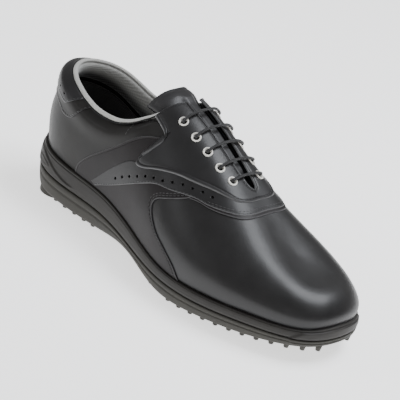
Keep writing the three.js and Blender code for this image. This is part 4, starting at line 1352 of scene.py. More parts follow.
        def foot(s: np.ndarray) -> np.ndarray:
            """The heel panel's lasted edge."""
            return mix(back(0 * s), np.array([HEEL, LOW_EDGE]) + 0 * low(s), s)

        def middle(t: np.ndarray) -> np.ndarray:
            """The heel panel's end, on the middle line of the heel."""
            return np.stack([HEEL + 0 * t, LOW_EDGE + (PANEL_TOP.points[-1, 1] - LOW_EDGE) * t], -1)

        heel = framed(foot, PANEL_TOP.at, back, middle)
        cut = self._turned(self.heel_cut, side)
        self.tailor.panel(f"{side.value}_heel_panel_leather", sided(heel, side), cut, wear.heel, Slot.UPPER,
                          f"{side.value}_heel_panel", lift=self.collar_puff)

    def _turned(self, cut: Cut, side: Side) -> Cut:
        """The cut for one side: the mirror image swaps the left and the right edge."""
        if side is Side.LATERAL:
            return cut
        low, high, left, right = cut.edges
        return Cut(cut.cells, cut.top, cut.thick, (low, high, right, left), cut.turn, cut.roll, cut.stitch)

    def band_edge(self, s: np.ndarray) -> np.ndarray:
        """The band's lower edge. Forward of the wave it steps back and lets the quarter's edge show.

        Args:
            s: 0 at the lateral end to 1 at the medial end.

        Returns:
            The places.
        """
        low = BAND_LOWER.both(s)
        back = self.edge_width * smooth(6.15, 5.6, on_lateral(low[..., 0]))
        return self.tailor.inset(low, BAND_UPPER.both(s), back)

    def throat_strip(self) -> None:
        """The quarters' edge, carried round the throat under the band."""
        start = 0.5 * BAND_LOWER.share_at(5.2)

        def edge(s: np.ndarray) -> np.ndarray:
            """Its free edge."""
            place = BAND_LOWER.both(start + (1 - 2 * start) * s)
            bend = smooth(5.0, 5.2, on_lateral(place[..., 0]))
            return place + np.stack([0 * bend, 0.03 * bend], -1)

        def under(s: np.ndarray) -> np.ndarray:
            """Its hidden edge."""
            return self.tailor.inset(edge(s), BAND_UPPER.both(start + (1 - 2 * start) * s), 5.5)

        def tuck(uv: np.ndarray) -> np.ndarray:
            """Its ends dip under the quarters."""
            return -1.1 * smooth(4.98, 5.14, on_lateral(uv[:, 0]))

        self.tailor.panel("throat_edge_leather", ruled(edge, under), self.strip_cut,
                          self.tailor.wardrobe.quarter, Slot.UPPER, lift=tuck)

    def band_lift(self, uv: np.ndarray) -> np.ndarray:
        """The band lies lower on the vamp than over the quarters, in millimetres."""
        return -0.25 * smooth(5.75, 5.35, on_lateral(uv[:, 0]))

    def band(self) -> None:
        """The perforated band round the eyestay, with its row of holes cut through."""
        last = self.tailor.last
        obj = self.tailor.panel("brogue_band", ruled(self.band_edge, BAND_UPPER.both), self.band_cut,
                                self.tailor.wardrobe.overlay, Slot.OVERLAY, "perforated_band",
                                lift=self.band_lift)
        tool, backing = bmesh.new(), bmesh.new()
        backing.loops.layers.uv.new("chart")
        line = HOLES.at(np.linspace(0, 1, 200))
        for mirror in (1, -1):
            uv = line * [mirror, 1]
            points = last.over(uv, self.band_cut.top)
            for spot in resample(points, self.hole_pitch * MM):
                place = uv[int(round(spot))]
                self._drill(tool, place, 0.6, 4.2, self.hole_radius)
                self._drill(backing, place, 0.3, 1.25, self.hole_radius + 0.3)
        for quarter in self.quarters:
            carve(quarter, tool.copy())
        carve(obj, tool)
        part("brogue_backing", backing, self.tailor.wardrobe.piping, Slot.OVERLAY)

    def _drill(self, tool: bmesh.types.BMesh, place: np.ndarray, low: float, high: float,
               radius: float) -> None:
        """Adds one round hole to a cutting tool.

        Args:
            tool: The tool.
            place: Its middle, in (u, v).
            low: Its lower end above the last, in millimetres.
            high: Its upper end.
            radius: Its radius.
        """
        last = self.tailor.last
        normal = Vector(last.normal(*place))
        foot = Vector(last.over(place, low)) + normal * (high - low) / 2 * MM
        turn = normal.to_track_quat("Z", "Y").to_matrix().to_4x4()
        cone(tool, 12, radius, radius, (high - low) * MM, Matrix.Translation(foot) @ turn)

    def eyestay(self) -> None:
        """The facing that carries the eyelets, one piece round the throat, with a thick rolled edge."""
        obj = self.tailor.panel("eyestay_leather", ruled(EYESTAY_OUTER.both, EYESTAY_INNER.both),
                                self.eyestay_cut, self.tailor.wardrobe.overlay, Slot.OVERLAY, "eyestay")
        tool = bmesh.new()
        for row in range(5):
            place = EYELETS.at(row / 4)
            for mirror in (1, -1):
                self._drill(tool, place * [mirror, 1], 0.4, 6.0, 2.75)
        carve(obj, tool)

    def back(self) -> None:
        """The two overlays at the back of the collar."""
        wear = self.tailor.wardrobe

        def strip(low: Seam, first: float) -> Patch:
            """A patch from a low line up to the topline, once round the heel.

            Args:
                low: The low line.
                first: Where it starts on the topline.

            Returns:
                The patch.
            """
            def patch(s: np.ndarray, t: np.ndarray) -> np.ndarray:
                """The place at (s, t)."""
                u = first + (ROUND - 2 * first) * s
                side = on_lateral(u)
                floor, top = low.height_at(side), TOPLINE.height_at(side) - 0.02
                return np.stack([u, floor + np.maximum(top - floor, 0.02) * t], -1)
            return patch

        self.tailor.panel("heel_flap_leather", strip(FLAP_LOW, 8.02), self.flap_cut, wear.heel, Slot.OVERLAY,
                          lift=self.collar_puff)
        tab = self.tailor.panel("backstay_tab_leather", strip(TAB_LOW, 8.32), self.tab_cut, wear.overlay,
                                Slot.OVERLAY, "backstay_tab", lift=self.collar_puff)
        tool = bmesh.new()
        for side in np.arange(8.85, ROUND - 8.8, 0.36):
            lateral = float(on_lateral(side))
            v = float(TAB_LOW.height_at(lateral)) + 0.22
            self._drill(tool, np.array([side, v]), 1.0, 6.0, 0.8)
        carve(tab, tool)

    def stitching(self) -> None:
        """Every row of stitches on the upper."""
        s = np.linspace(0.004, 0.996, 1600)
        t = np.linspace(0.02, 0.98, 400)
        tailor = self.tailor
        lower, upper = self.band_edge(s), BAND_UPPER.both(s)
        outer, inner = EYESTAY_OUTER.both(s), EYESTAY_INNER.both(s)
        band_top = self.band_cut.top - 0.12 + self.band_lift(lower)
        rows = [(tailor.inset(lower, upper, 1.7), band_top)]
        throat = np.abs(s - 0.5) < 0.21
        rows.append((tailor.inset(lower, upper, 3.6)[throat], (band_top + 0.12)[throat]))
        tailor.sew("band_stitches", rows)
        top = self.eyestay_cut.top - 0.12
        tailor.sew("eyestay_stitches", [(tailor.inset(outer, inner, 2.7), top),
                                        (tailor.inset(inner, outer, 2.7), top)])
        rows = []
        for mirror in (1, -1):
            front = WAVE.at(t)
            behind = front + np.stack([1.2 + 0 * t, 0.1 + 1.3 * smooth(0.5, 0.75, t)], -1)
            for distance, lift in ((2.4, -0.12), (4.2, 0.0)):
                uv = tailor.inset(front, behind, distance) * [mirror, 1]
                rows.append((uv, self.quarter_cut.top + lift + self.creases(uv)))
        tailor.sew("wave_stitches", rows)
        rows = []
        for seam, cut, first in ((FLAP_LOW, self.flap_cut, 8.1), (TAB_LOW, self.tab_cut, 8.4)):
            u = np.linspace(first, ROUND - first, 900)
            edge = np.stack([u, seam.height_at(on_lateral(u))], -1)
            uv = tailor.inset(edge, edge + [0, 0.5], 1.7)
            rows.append((uv, cut.top - 0.12 + self.collar_puff(uv)))
        for mirror in (1, -1):
            v = np.linspace(-0.06, -0.42, 60)
            uv = np.stack([np.full(60, 6.92), TOPLINE.height_at(6.92) + v], -1) * [mirror, 1]
            rows.append((uv, self.heel_cut.top + self.collar_puff(uv)))
        tailor.sew("back_stitches", rows)


# ---- collar, tongue and footbed


@dataclass
class Collar:
    """What lines the opening: padded collar, binding, piping, linings and footbed. Millimetres."""

    tailor: Tailor
    first: float = 6.8
    pad_outer: float = -1.6
    pad_inner: float = -6.6
    pad_depth: float = 0.85
    binding_radius: float = 1.8

    def top(self, u: np.ndarray) -> np.ndarray:
        """The topline's v at u, on either side."""
        return TOPLINE.height_at(on_lateral(u))

    def build(self) -> None:
        """Makes every piece of the collar."""
        self.pad()
        self.binding()
        self.quarter_lining()
        self.footbed()

    def pad(self) -> None:
        """The stuffed roll behind the topline."""
        around, along = 28, 150
        bm, cell = grid(along, around)
        u = self.first + 0.05 + (ROUND - 2 * self.first - 0.1) * cell[:, 0] / along
        angle = 2 * math.pi * cell[:, 1] / around
        end = np.minimum(cell[:, 0], along - cell[:, 0])
        close = np.sqrt(1 - (1 - np.clip(end / 5, 0.02, 1)) ** 2)
        rise, side = np.sin(angle), np.cos(angle)
        square = np.sign(rise) * np.abs(rise) ** 0.75
        v = self.top(u) + 0.02 - self.pad_depth / 2 + self.pad_depth / 2 * square * close
        middle, half = (self.pad_outer + self.pad_inner) / 2, (self.pad_outer - self.pad_inner) / 2
        lift = middle + half * np.sign(side) * np.abs(side) ** 0.8 * close
        lift -= 0.7 * np.where(side < 0, 1, 0) * (1 - square ** 2) * close
        chart = np.column_stack([u * 0.02, v * 0.02 + angle * 0.002])
        shape(bm, self.tailor.last.over(np.stack([u, v], -1), lift), chart)
        # Pale at the top of the roll, fading into the dark knit below: the pale cloth is the binding's grey,
        # and the fade is painted shade down inside the shoe.
        layer = bm.verts.layers.float.new("wear")
        for vertex, value in zip(bm.verts, smooth(0.62, 0.2, self.top(u) - v)):
            vertex[layer] = float(value)
        weld(bm)
        obj = part("collar_roll", bm, self.tailor.wardrobe.collar, Slot.COLLAR, "collar_pad")

    def _rim(self, above: float, lift: float, slope: float) -> np.ndarray:
        """A line along the topline.

        Args:
            above: How far above it, in v.
            lift: Height above the last in millimetres.
            slope: More height towards the front, for each unit of u.

        Returns:
            The line's points in metres.
        """
        start = self.first - 0.27
        u = np.linspace(start, ROUND - start, 260)
        side = on_lateral(u)
        return self.tailor.last.over(np.stack([u, self.top(u) + above], -1), lift - slope * (HEEL - side))

    def binding(self) -> None:
        """The pale binding over the topline, and the dark turned edge under it."""
        radius = self.binding_radius
        bm = tube(self._rim(0.05, -2.1, 0.06), radius * MM, 24, 0.8)
        part("topline_binding", bm, self.tailor.wardrobe.binding, Slot.BINDING, "collar_binding")
        edge = tube(self._rim(-0.03, -0.6, 0.04), 0.55 * MM, 8)
        part("topline_piping", edge, self.tailor.wardrobe.piping, Slot.OVERLAY)

    def quarter_lining(self) -> None:
        """The lining inside the quarters and round the heel."""
        def patch(s: np.ndarray, t: np.ndarray) -> np.ndarray:
            """The place at (s, t)."""
            u = 5.5 + (ROUND - 11) * s
            side = on_lateral(u)
            front = 2.6 - 1.15 * smooth(6.0, 6.7, side)
            free = np.where(side < 6.7, front, TOPLINE.height_at(side) - self.pad_depth - 0.2)
            return np.stack([u, LOW_EDGE + (np.minimum(free, 2.6) - LOW_EDGE) * t], -1)

        cut = Cut((150, 30), -2.7, 0.9, (False, False, False, False))
        self.tailor.panel("quarter_lining_cloth", patch, cut, self.tailor.wardrobe.lining, Slot.LINING,
                          "quarter_lining")

        def vamp(s: np.ndarray, t: np.ndarray) -> np.ndarray:
            """The place at (s, t) of the vamp's lining."""
            u = 5.35 * (2 * s - 1)
            far = np.abs(u)
            reach = np.where(far < 3.9, SPINE, SPINE - 1.75 * (far - 3.9) / 1.45 - 0.55)
            return np.stack([u, LOW_EDGE + (reach - LOW_EDGE) * t], -1)

        obj = self.tailor.panel("vamp_lining_cloth", vamp, cut, self.tailor.wardrobe.lining, Slot.LINING,
                                "vamp_lining")
        join = obj.modifiers.new("weld", "WELD")
        join.merge_threshold = 2e-5
        obj.modifiers.move(1, 0)

    def footbed(self) -> None:
        """The removable footbed, crowned and rounded at its rim."""
        last = self.tailor.last
        around = 264
        rows = ((8.8, 0.2, 1), (8.8, 0.2, 0.5), (8.8, 0.2, 0), (8.8, 3.6, 0), (9.1, 4.4, 0), (9.8, 4.7, 0),
                (11.5, 4.3, 0), (15, 3.9, 0.1), (15, 4.0, 0.35), (15, 4.3, 0.65), (15, 4.4, 1))
        bm, cell = grid(around, len(rows) - 1)
        u = ROUND * cell[:, 0] / around
        points = np.zeros((len(u), 3))
        for k, (inset, above, depth) in enumerate(rows):
            here = cell[:, 1] == k
            floor = last.height("feather", u[here])
            points[here] = last.sole(u[here], np.full(here.sum(), inset), floor + above, depth)
        shape(bm, points, points[:, :2])
        weld(bm)
        obj = part("footbed_cushion", bm, self.tailor.wardrobe.footbed, Slot.FOOTBED, "footbed")


@dataclass
class Tongue:
    """The padded tongue. Millimetres."""

    tailor: Tailor
    top: float = -4.6
    bottom: float = -8.0
    lift: float = 5.0
    shoulder: float = 3.1

    def build(self) -> None:
        """Makes the tongue, its turned edge and the seam along it."""
        columns, rows = 64, 80
        bm, cell = grid(2 * columns, rows)
        under = cell[:, 0] > columns
        s = np.where(under, 2 * columns - cell[:, 0], cell[:, 0]) / columns
        t = cell[:, 1] / rows
        uv = self.place(s, t)
        rim = np.minimum(np.minimum(s, 1 - s) * 60, (1 - t) * 100)
        round_off = np.sqrt(1 - (1 - np.clip(rim / 2.4, 0, 1)) ** 2)
        across = np.abs(2 * s - 1)
        free = smooth(0.8, 0.9, t)
        shoulder = self.shoulder * smooth(0.97, 0.72, across) * smooth(0.3, 0.5, t) * (1 - free)
        rise = (self.lift - shoulder) * smooth(0.36, 0.12, across) * smooth(0.08, 0.22, t)
        rise = rise * (1 - free) + shoulder
        rise += free * (self.lift + 1.0) * (1 - 0.75 * across ** 2.5)
        seam = -0.7 * np.exp(-((rim - 4.2) / 0.8) ** 2) * smooth(3.9, 4.1, (1 - across) * 10 + free * 10)
        middle, half = (self.top + self.bottom) / 2, (self.top - self.bottom) / 2
        face = middle + (half + 0.5 * free) * round_off + seam
        lift = rise + np.where(under, middle - half * round_off, face)
        points = self.tailor.last.over(uv, lift)
        shape(bm, points, np.column_stack([s * 0.055, t * 0.1]))
        bmesh.ops.remove_doubles(bm, verts=bm.verts[:], dist=1e-5)
        ends = [edge for edge in bm.edges if edge.is_boundary]
        bmesh.ops.holes_fill(bm, edges=ends, sides=0)
        bmesh.ops.recalc_face_normals(bm, faces=bm.faces[:])
        obj = part("tongue_pad", bm, self.tailor.wardrobe.tongue, Slot.TONGUE, "tongue")

    def place(self, s: np.ndarray, t: np.ndarray) -> np.ndarray:
        """The place of the tongue at (s, t), crossing the crest in the middle."""
        across = 2 * s - 1
        u = 4.3 + 2.64 * t
        v = SPINE - (1.45 + 0.5 * smooth(0.72, 0.92, t)) * np.abs(across)
        return np.stack([np.where(across < 0, u, ROUND - u), v], -1)


# ---- eyelets and lace


@dataclass
class Closure:
    """Eyelets and lace. Millimetres."""

    tailor: Tailor
    pairs: int = 5
    bore: float = 2.1
    flange: float = 3.85
    rim: float = 0.95
    lace_radius: float = 1.1
    lace_over: float = 5.7
    lace_under: float = -2.2
    face: float = 2.95

    def spot(self, row: int, medial: bool) -> np.ndarray:
        """The place of an eyelet in (u, v), its row counted from 0 at the toe."""
        place = EYELETS.at(row / (self.pairs - 1))
        return np.array([ROUND - place[0], place[1]]) if medial else place

    def build(self) -> None:
        """Makes the eyelets and the lace."""
        for row in range(self.pairs):
            for medial in (False, True):
                self.eyelet(row, medial)
        self.lace()

    def eyelet(self, row: int, medial: bool) -> None:
        """One rolled eyelet, spun from its section.

        Args:
            row: Counted from the toe, from 0.
            medial: True on the medial side.
        """
        last = self.tailor.last
        place = self.spot(row, medial)
        bore, flange, face, rim = self.bore, self.flange, self.face, self.rim
        arc = np.linspace(0, math.pi, 9)
        crown = [(flange + bore + 0.3) / 2 + (flange - bore - 0.3) / 2 * math.cos(a) for a in arc]
        swell = [face + rim * math.sin(a) for a in arc]
        section = [(bore, -0.4), (bore + 0.4, -0.4), (bore + 0.4, face - 0.1), (flange - 0.1, face - 0.1),
                   *zip(crown, swell), (bore, face - 0.4)]
        bm = bmesh.new()
        bm.loops.layers.uv.new("chart")
        ring = [bm.verts.new((r * MM, 0, z * MM)) for r, z in section]
        edges = [bm.edges.new((a, b)) for a, b in zip(ring, ring[1:] + ring[:1])]
        bmesh.ops.spin(bm, geom=ring + edges, cent=(0, 0, 0), axis=(0, 0, 1), angle=2 * math.pi, steps=32,
                       use_merge=True)
        weld(bm, 1e-6)
        normal = Vector(last.normal(*place))
        turn = normal.to_track_quat("Z", "Y").to_matrix().to_4x4()
        stand = Matrix.Translation(Vector(last.over(place, 0.0))) @ turn
        bmesh.ops.transform(bm, matrix=stand, verts=bm.verts[:])
        side = Side.MEDIAL if medial else Side.LATERAL
        part(f"{side.value}_rolled_eyelet_{row + 1}", bm, self.tailor.wardrobe.eyelet, Slot.EYELET,
             f"{side.value}_eyelet_{row + 1}")

    def route(self) -> np.ndarray:
        """The lace's way: straight across each pair, and under the facing from one pair to the next.

        Returns:
            The points that it passes, in metres.
        """
        last = self.tailor.last
        points = []

        def under(row: int, other: int, medial: bool, share: float) -> None:
            """Adds a point under the facing, share of the way from one row to another."""
            place = self.spot(row, medial) * (1 - share) + self.spot(other, medial) * share
            points.append(last.over(place, self.lace_under))

        def through(row: int, medial: bool, up: bool) -> None:
            """Adds the points where the lace passes an eyelet."""
            heights = (self.lace_over - 0.6, 2.6, -1.0)
            for height in heights[::-1] if up else heights:
                points.append(last.over(self.spot(row, medial), height))

        for share in (0.75, 0.3):
            under(0, 1, False, share)
        for row in range(self.pairs):
            from_medial = row % 2 == 1
            through(row, from_medial, True)
            u, v = self.spot(row, False)
            for share in (-0.66, -0.3, 0.3, 0.66):
                signed = share * (-1 if from_medial else 1)
                place = np.array([u if signed < 0 else ROUND - u, SPINE - (SPINE - v) * abs(signed)])
                points.append(last.over(place, self.lace_over))
            through(row, not from_medial, False)
            if row + 1 < self.pairs:
                under(row, row + 1, not from_medial, 0.5)
        for share in (0.3, 0.75):
            under(self.pairs - 1, self.pairs - 2, self.pairs % 2 == 1, share)
        return np.array(points)

    def lace(self) -> None:
        """The waxed lace, one round tube along its whole way."""
        way = self.route()
        line = Seam(*map(tuple, way[:, :2]))
        rise = Seam(*((z, 0.0) for z in way[:, 2]))
        t = np.linspace(0, 1, 10 * len(way))
        path = np.column_stack([line.at(t), rise.at(t)[:, 0]])
        bm = tube(path, self.lace_radius * MM, 14)
        part("waxed_round_lace", bm, self.tailor.wardrobe.lace, Slot.LACE, "shoelace")


# ---- sole


@dataclass(frozen=True)
class CleatPlace:
    """Where one cleat stands: station, share across the tread, and how far its seat is raised (mm)."""

    name: str
    s: float
    share: float
    proud: float


CLEATS = (
    CleatPlace("toe", 2.55, 0.5, 0.6),
    CleatPlace("ball_lateral", 3.75, 0.21, 0.4),
    CleatPlace("ball_medial", 3.7, 0.79, 0.4),
    CleatPlace("waist_lateral", 4.95, 0.2, -0.3),
    CleatPlace("waist_medial", 4.9, 0.76, -0.3),
    CleatPlace("heel_lateral", 8.85, 0.23, 1.1),
    CleatPlace("heel_medial", 8.85, 0.77, 1.1),
)


@dataclass
class Sole:
    """Midsole cup, outsole, nubs and cleats. Millimetres."""

    last: Last
    wardrobe: Wardrobe
    around: int = 528
    wall_rows: int = 34
    cleat_radius: float = 12.0
    legs: int = 6
    nub_root: float = 2.9
    nub_tip: float = 1.8
    nub_reach: float = 2.7
    nub_pitch: float = 20.0
    edge_pitch: float = 10.5
    edge_inset: float = 6.5
    nub_rows: tuple[float, float] = (0.8, 10.3)
    edge_rows: tuple[float, float] = (0.5, 10.4)
    bare_waist: tuple[float, float] = (5.45, 6.95)
    lug_clear: float = 8.4
    seat_gap: float = 0.35
    seat_depth: float = 1.55
    bore_radius: float = 7.95
    bore_depth: float = 7.9
    roll_height: float = 22.0
    roll_span: tuple[float, float] = (24.0, 2.0)
    roll_up: float = 9.0
    roll_in: float = 3.0
    disc_top: float = 1.2

    def build(self) -> None:
        """Makes the sole and its cleats."""
        self.midsole()
        self.outsole()
        for place in CLEATS:
            self.cleat(place)

    def _line(self, name: str) -> Rule:
        """The height along one of the last's named lines, from u."""
        return lambda u: self.last.height(name, u)

    def _ring(self, inset: float, line: Rule, above: float, depth: float = 0) -> Ring:
        """A ring at an inset and a height above a line. A depth of 1 draws it onto the middle."""
        return lambda u: (inset + 0 * u, line(u) + above, depth)

    def _rings(self, rows: Sequence[Ring]) -> bmesh.types.BMesh:
        """A solid of rings round the shoe.

        Args:
            rows: Each gives inset, height and depth at u.

        Returns:
            The closed solid.
        """
        bm, cell = grid(self.around, len(rows) - 1)
        u = ROUND * cell[:, 0] / self.around
        points = np.zeros((len(u), 3))
        for k, row in enumerate(rows):
            here = cell[:, 1] == k
            inset, height, depth = row(u[here])
            points[here] = self.last.sole(u[here], inset, height, depth)
        shape(bm, points, np.column_stack([u * 0.03, points[:, 2]]))
        weld(bm)
        return bm

    def wall(self, u: np.ndarray, f: float) -> np.ndarray:
        """The midsole wall's inset at a share f of its height.

        Args:
            u: Places round the shoe.
            f: 0 at the groove to 1 at the feather line.

        Returns:
            Insets in millimetres.
        """
        side = on_lateral(u)
        heights = np.array([0, 0.035, 0.08, 0.3, 0.6, 0.84, 0.875, 0.9, 0.93, 0.97, 1.0])
        insets = np.array([1.5, 0.7, 0.15, 0.0, 0.25, 0.75, 1.35, 1.35, 0.7, 0.75, 1.4])
        base = np.interp(f, heights, insets) + 0 * u
        toe = smooth(1.62, 1.5, side + 0.5 * (f - 0.4)) * smooth(0.82, 0.76, f)
        tip = 0.3 + 0.5 * smooth(7.9, 9.3, side)
        front = smooth(7.75, 7.95, side - 0.9 * np.abs(f - 0.25))
        wedge = smooth(tip, tip - 0.05, f) * smooth(0.1, 0.15, f) * front
        spot = ((side - 9.15) / 0.4) ** 2 + ((f - 0.42) / 0.13) ** 2
        oval = smooth(1.25, 0.8, spot) * 0.7 - 0.45 * smooth(0.62, 0.4, spot)
        return base - 1.1 * toe - 1.1 * wedge - oval

    def midsole(self) -> None:
        """The cup that holds the upper: its wall with welt edge, heel relief and toe bumper."""
        groove, feather, ring = self._line("groove"), self._line("feather"), self._ring

        def wall_ring(f: float) -> Ring:
            """A ring of the wall at a share of its height."""
            return lambda u: (self.wall(u, f), groove(u) + f * (feather(u) - 0.1 - groove(u)), 0)

        bends = [0.035, 0.08, 0.86, 0.875, 0.9, 0.93, 0.97]
        shares = np.unique(np.concatenate([np.linspace(0, 1, self.wall_rows), bends]))
        rows = [ring(12, groove, 0, 1), ring(12, groove, 0), *(wall_ring(f) for f in shares),
                ring(3.0, feather, 0.1), ring(8.0, feather, -0.1), ring(8.0, feather, -5.2),
                ring(8.0, feather, -5.2, 1)]
        part("midsole_wall", self._rings(rows), self.wardrobe.midsole, Slot.SOLE, "midsole")

    def outsole(self) -> None:
        """The tread layer with its nubs, and the seats of the receptacles cut in."""
        tread, groove, ring = self._line("tread"), self._line("groove"), self._ring

        def edge_ring(f: float, inset: float) -> Ring:
            """A ring of the edge, f of the way from the tread to the groove."""
            def row(u: np.ndarray) -> tuple[np.ndarray, np.ndarray, float]:
                """The ring at u."""
                bumper = 0.9 * smooth(1.62, 1.5, on_lateral(u) - 0.2 * f) * smooth(0.15, 0.3, f)
                return inset - bumper, tread(u) + f * (groove(u) - 0.5 - tread(u)), 0
            return row

        profile = ((0.0, 3.4), (0.04, 2.4), (0.1, 1.7), (0.2, 1.2), (0.35, 0.8), (0.5, 0.45), (0.58, 0.35),
                   (0.62, 0.8), (0.68, 0.8), (0.72, 0.25), (0.82, 0.1), (0.92, 0.15), (0.97, 0.5), (1.0, 1.3))
        rows = [ring(12, tread, 0, 1), ring(12, tread, 0, 0.5), ring(12, tread, 0), ring(6, tread, 0),
                *(edge_ring(f, inset) for f, inset in profile), ring(12, groove, -0.5),
                ring(12, groove, -0.5, 1)]
        obj = part("outsole_tread", self._rings(rows), self.wardrobe.outsole, Slot.TREAD, "outsole")
        tool = bmesh.new()
        for place in CLEATS:
            frame_at = self.stand(place)
            seat = (self.cleat_radius + self.seat_gap, -3, self.seat_depth, 48)
            bore = (self.bore_radius, 0, self.bore_depth, 32)
            for radius, low, high, sides in (seat, bore):
                middle = Matrix.Translation((0, 0, (low + high) / 2 * MM))
                cone(tool, sides, radius, radius, (high - low) * MM, frame_at @ middle)
        carve(obj, tool)
        self.round_heel(obj.data.vertices)
        self.nubs()

    def round_heel(self, vertices: Iterable) -> None:
        """Lifts the tread's back corner, so that the heel rolls up behind its cleats.

        Args:
            vertices: Vertices of the tread, which are moved.
        """
        for vertex in vertices:
            behind = (vertex.co.x - CAD_BOX[0][0]) / MM
            share = min(1.0, max(0.0, 1 - vertex.co.z / (self.roll_height * MM)))
            roll = share * float(smooth(*self.roll_span, behind))
            vertex.co.z += self.roll_up * roll * MM
            vertex.co.x += self.roll_in * roll * MM

    def stand(self, place: CleatPlace) -> Matrix:
        """The matrix that stands the local Z axis on a cleat's place, square to the tread."""
        normal = self.last.tread_normal(place.s, place.share)
        origin = self.last.tread_point(place.s, place.share) - normal * place.proud * MM
        return Matrix.Translation(origin) @ Vector((0, 0, 1)).rotation_difference(normal).to_matrix().to_4x4()

    def nubs(self) -> None:
        """The small tread nubs, kept off the cleats and the waist, and the flat lug under the heel."""
        bm = bmesh.new()
        bm.loops.layers.uv.new("chart")
        pad = self.last.tread_point(8.2, 0.5)
        centres = [self.last.tread_point(c.s, c.share) for c in CLEATS]

        def place(s: float, share: float) -> None:
            """Adds a nub if it is clear."""
            foot = self.last.tread_point(s, share)
            clear = (self.cleat_radius + self.nub_root + 1.15) * MM
            near_cleat = min((c.xy - foot.xy).length for c in centres) <= clear
            if near_cleat or self.bare_waist[0] < s < self.bare_waist[1]:
                return
            if (pad.xy - foot.xy).length <= self.lug_clear * MM:
                return
            low, high = max(0.0, foot.z - self.nub_reach * MM), foot.z + 3.5 * MM
            middle = Matrix.Translation((foot.x, foot.y, (low + high) / 2))
            cone(bm, 8, self.nub_tip, self.nub_root, high - low, middle)

        s, end = self.nub_rows
        while s < end:
            width = (self.last.tread_point(s, 0) - self.last.tread_point(s, 1)).length / MM
            inner = width - 2 * self.edge_inset
            gaps = max(1, math.floor(inner / self.nub_pitch + 0.5))
            for k in range(1, gaps):
                place(s, (self.edge_inset + inner * k / gaps) / width)
            here = self.last.tread_point(s, 0.5).x
            while here - self.last.tread_point(s, 0.5).x < self.nub_pitch * MM and s < end:
                s += 0.05
        u = np.linspace(0, ROUND, 2000)
        rim = self.last.sole(u, 6.0 + 0 * u, self.last.height("tread", u))
        for spot in resample(rim, self.edge_pitch * MM)[:-1]:
            here = float(u[int(round(spot))])
            station = float(on_lateral(np.array(here)))
            lateral, medial = self.last.tread_point(station, 0), self.last.tread_point(station, 1)
            width = max((lateral - medial).length / MM, 14)
            if self.edge_rows[0] < station < self.edge_rows[1]:
                share = self.edge_inset / width
                place(station, share if here < HEEL else 1 - share)
        middle = Matrix.Translation((pad.x, pad.y, (pad.z + 1 * MM) / 2))
        cone(bm, 24, 4.2, 5.0, pad.z + 1 * MM, middle)
        rims = [e for e in bm.edges if max(v.co.z for v in e.verts) < pad.z + 3 * MM
                and abs(e.verts[0].co.z - e.verts[1].co.z) < 1e-5]
        bmesh.ops.bevel(bm, geom=rims, offset=0.4 * MM, segments=2, profile=0.5, affect="EDGES", material=-1)
        self.round_heel(bm.verts)
        part("tread_nubs", bm, self.wardrobe.outsole, Slot.TREAD)

    def cleat(self, place: CleatPlace) -> None:
        """One soft cleat: domed disc, stud and splayed legs.

        Args:
            place: Where it stands.
        """
        radius, top = self.cleat_radius, self.disc_top
        section = [(0, top), (radius - 0.6, top), (radius, top - 0.5), (radius, top - 1.0),
                   (radius - 0.7, top - 1.7), (radius - 3.2, top - 2.1), (radius - 5.6, top - 2.2),
                   (radius - 6.2, top - 1.5), (2.6, top - 1.5), (2.2, top - 2.3), (0, top - 2.4)]
        bm = bmesh.new()
        bm.loops.layers.uv.new("chart")
        ring = [bm.verts.new((r * MM, 0, z * MM)) for r, z in section]
        edges = [bm.edges.new((a, b)) for a, b in zip(ring, ring[1:])]
        bmesh.ops.spin(bm, geom=ring + edges, cent=(0, 0, 0), axis=(0, 0, 1), angle=2 * math.pi, steps=48,
                       use_merge=True)
        weld(bm, 1e-6)
        cone(bm, 6, 4.6, 4.4, 5.2 * MM, Matrix.Translation((0, 0, (top + 2.4) * MM)))
        for k in range(self.legs):
            disc = set(bm.verts)
            leg = cone(bm, 10, 0.95, 2.1, 3.4 * MM, Matrix.Translation((0, 0, -1.9 * MM)))
            bmesh.ops.scale(bm, vec=(1.15, 0.8, 1), verts=leg)
            tips = [vertex for vertex in leg if vertex.co.z < -2 * MM]
            bmesh.ops.translate(bm, vec=(0.7 * MM, 0, 0), verts=tips)
            rim = [edge for vertex in tips for edge in vertex.link_edges if edge.other_vert(vertex) in tips]
            bmesh.ops.bevel(bm, geom=list(set(rim)), offset=0.3 * MM, segments=2, profile=0.5, affect="EDGES",
                            material=-1)
            leg = [vertex for vertex in bm.verts if vertex not in disc]
            bmesh.ops.translate(bm, vec=((radius - 2.9) * MM, 0, 0), verts=leg)
            angle = 2 * math.pi * (k + 0.5) / self.legs
            bmesh.ops.rotate(bm, cent=(0, 0, 0), matrix=Matrix.Rotation(angle, 3, "Z"), verts=leg)
        bmesh.ops.transform(bm, matrix=self.stand(place), verts=bm.verts[:])
        part(f"{place.name}_soft_cleat", bm, self.wardrobe.cleat, Slot.CLEAT, f"{place.name}_cleat",
             body=f"{place.name}_cleat")


# ---- hidden pieces and studio


def dress_hidden(wardrobe: Wardrobe) -> None:
    """Gives each CAD node that stays its own finish.

    Args:
        wardrobe: The finishes.
    """
    finishes = {"shank": wardrobe.shank, "insole_board": wardrobe.board, "heel_counter": wardrobe.stiffener,
                "toe_puff": wardrobe.stiffener, "lateral_facing_stay": wardrobe.overlay,
                "medial_facing_stay": wardrobe.overlay}
    for place in CLEATS:
        finishes[f"{place.name}_receptacle"] = wardrobe.receptacle
    for name, material in finishes.items():
        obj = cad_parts[name]
        if not obj.material_slots:
            obj.data.materials.append(material)
        for slot in obj.material_slots:
            slot.material = material
        LOG.info("%s keeps its CAD shape", name)


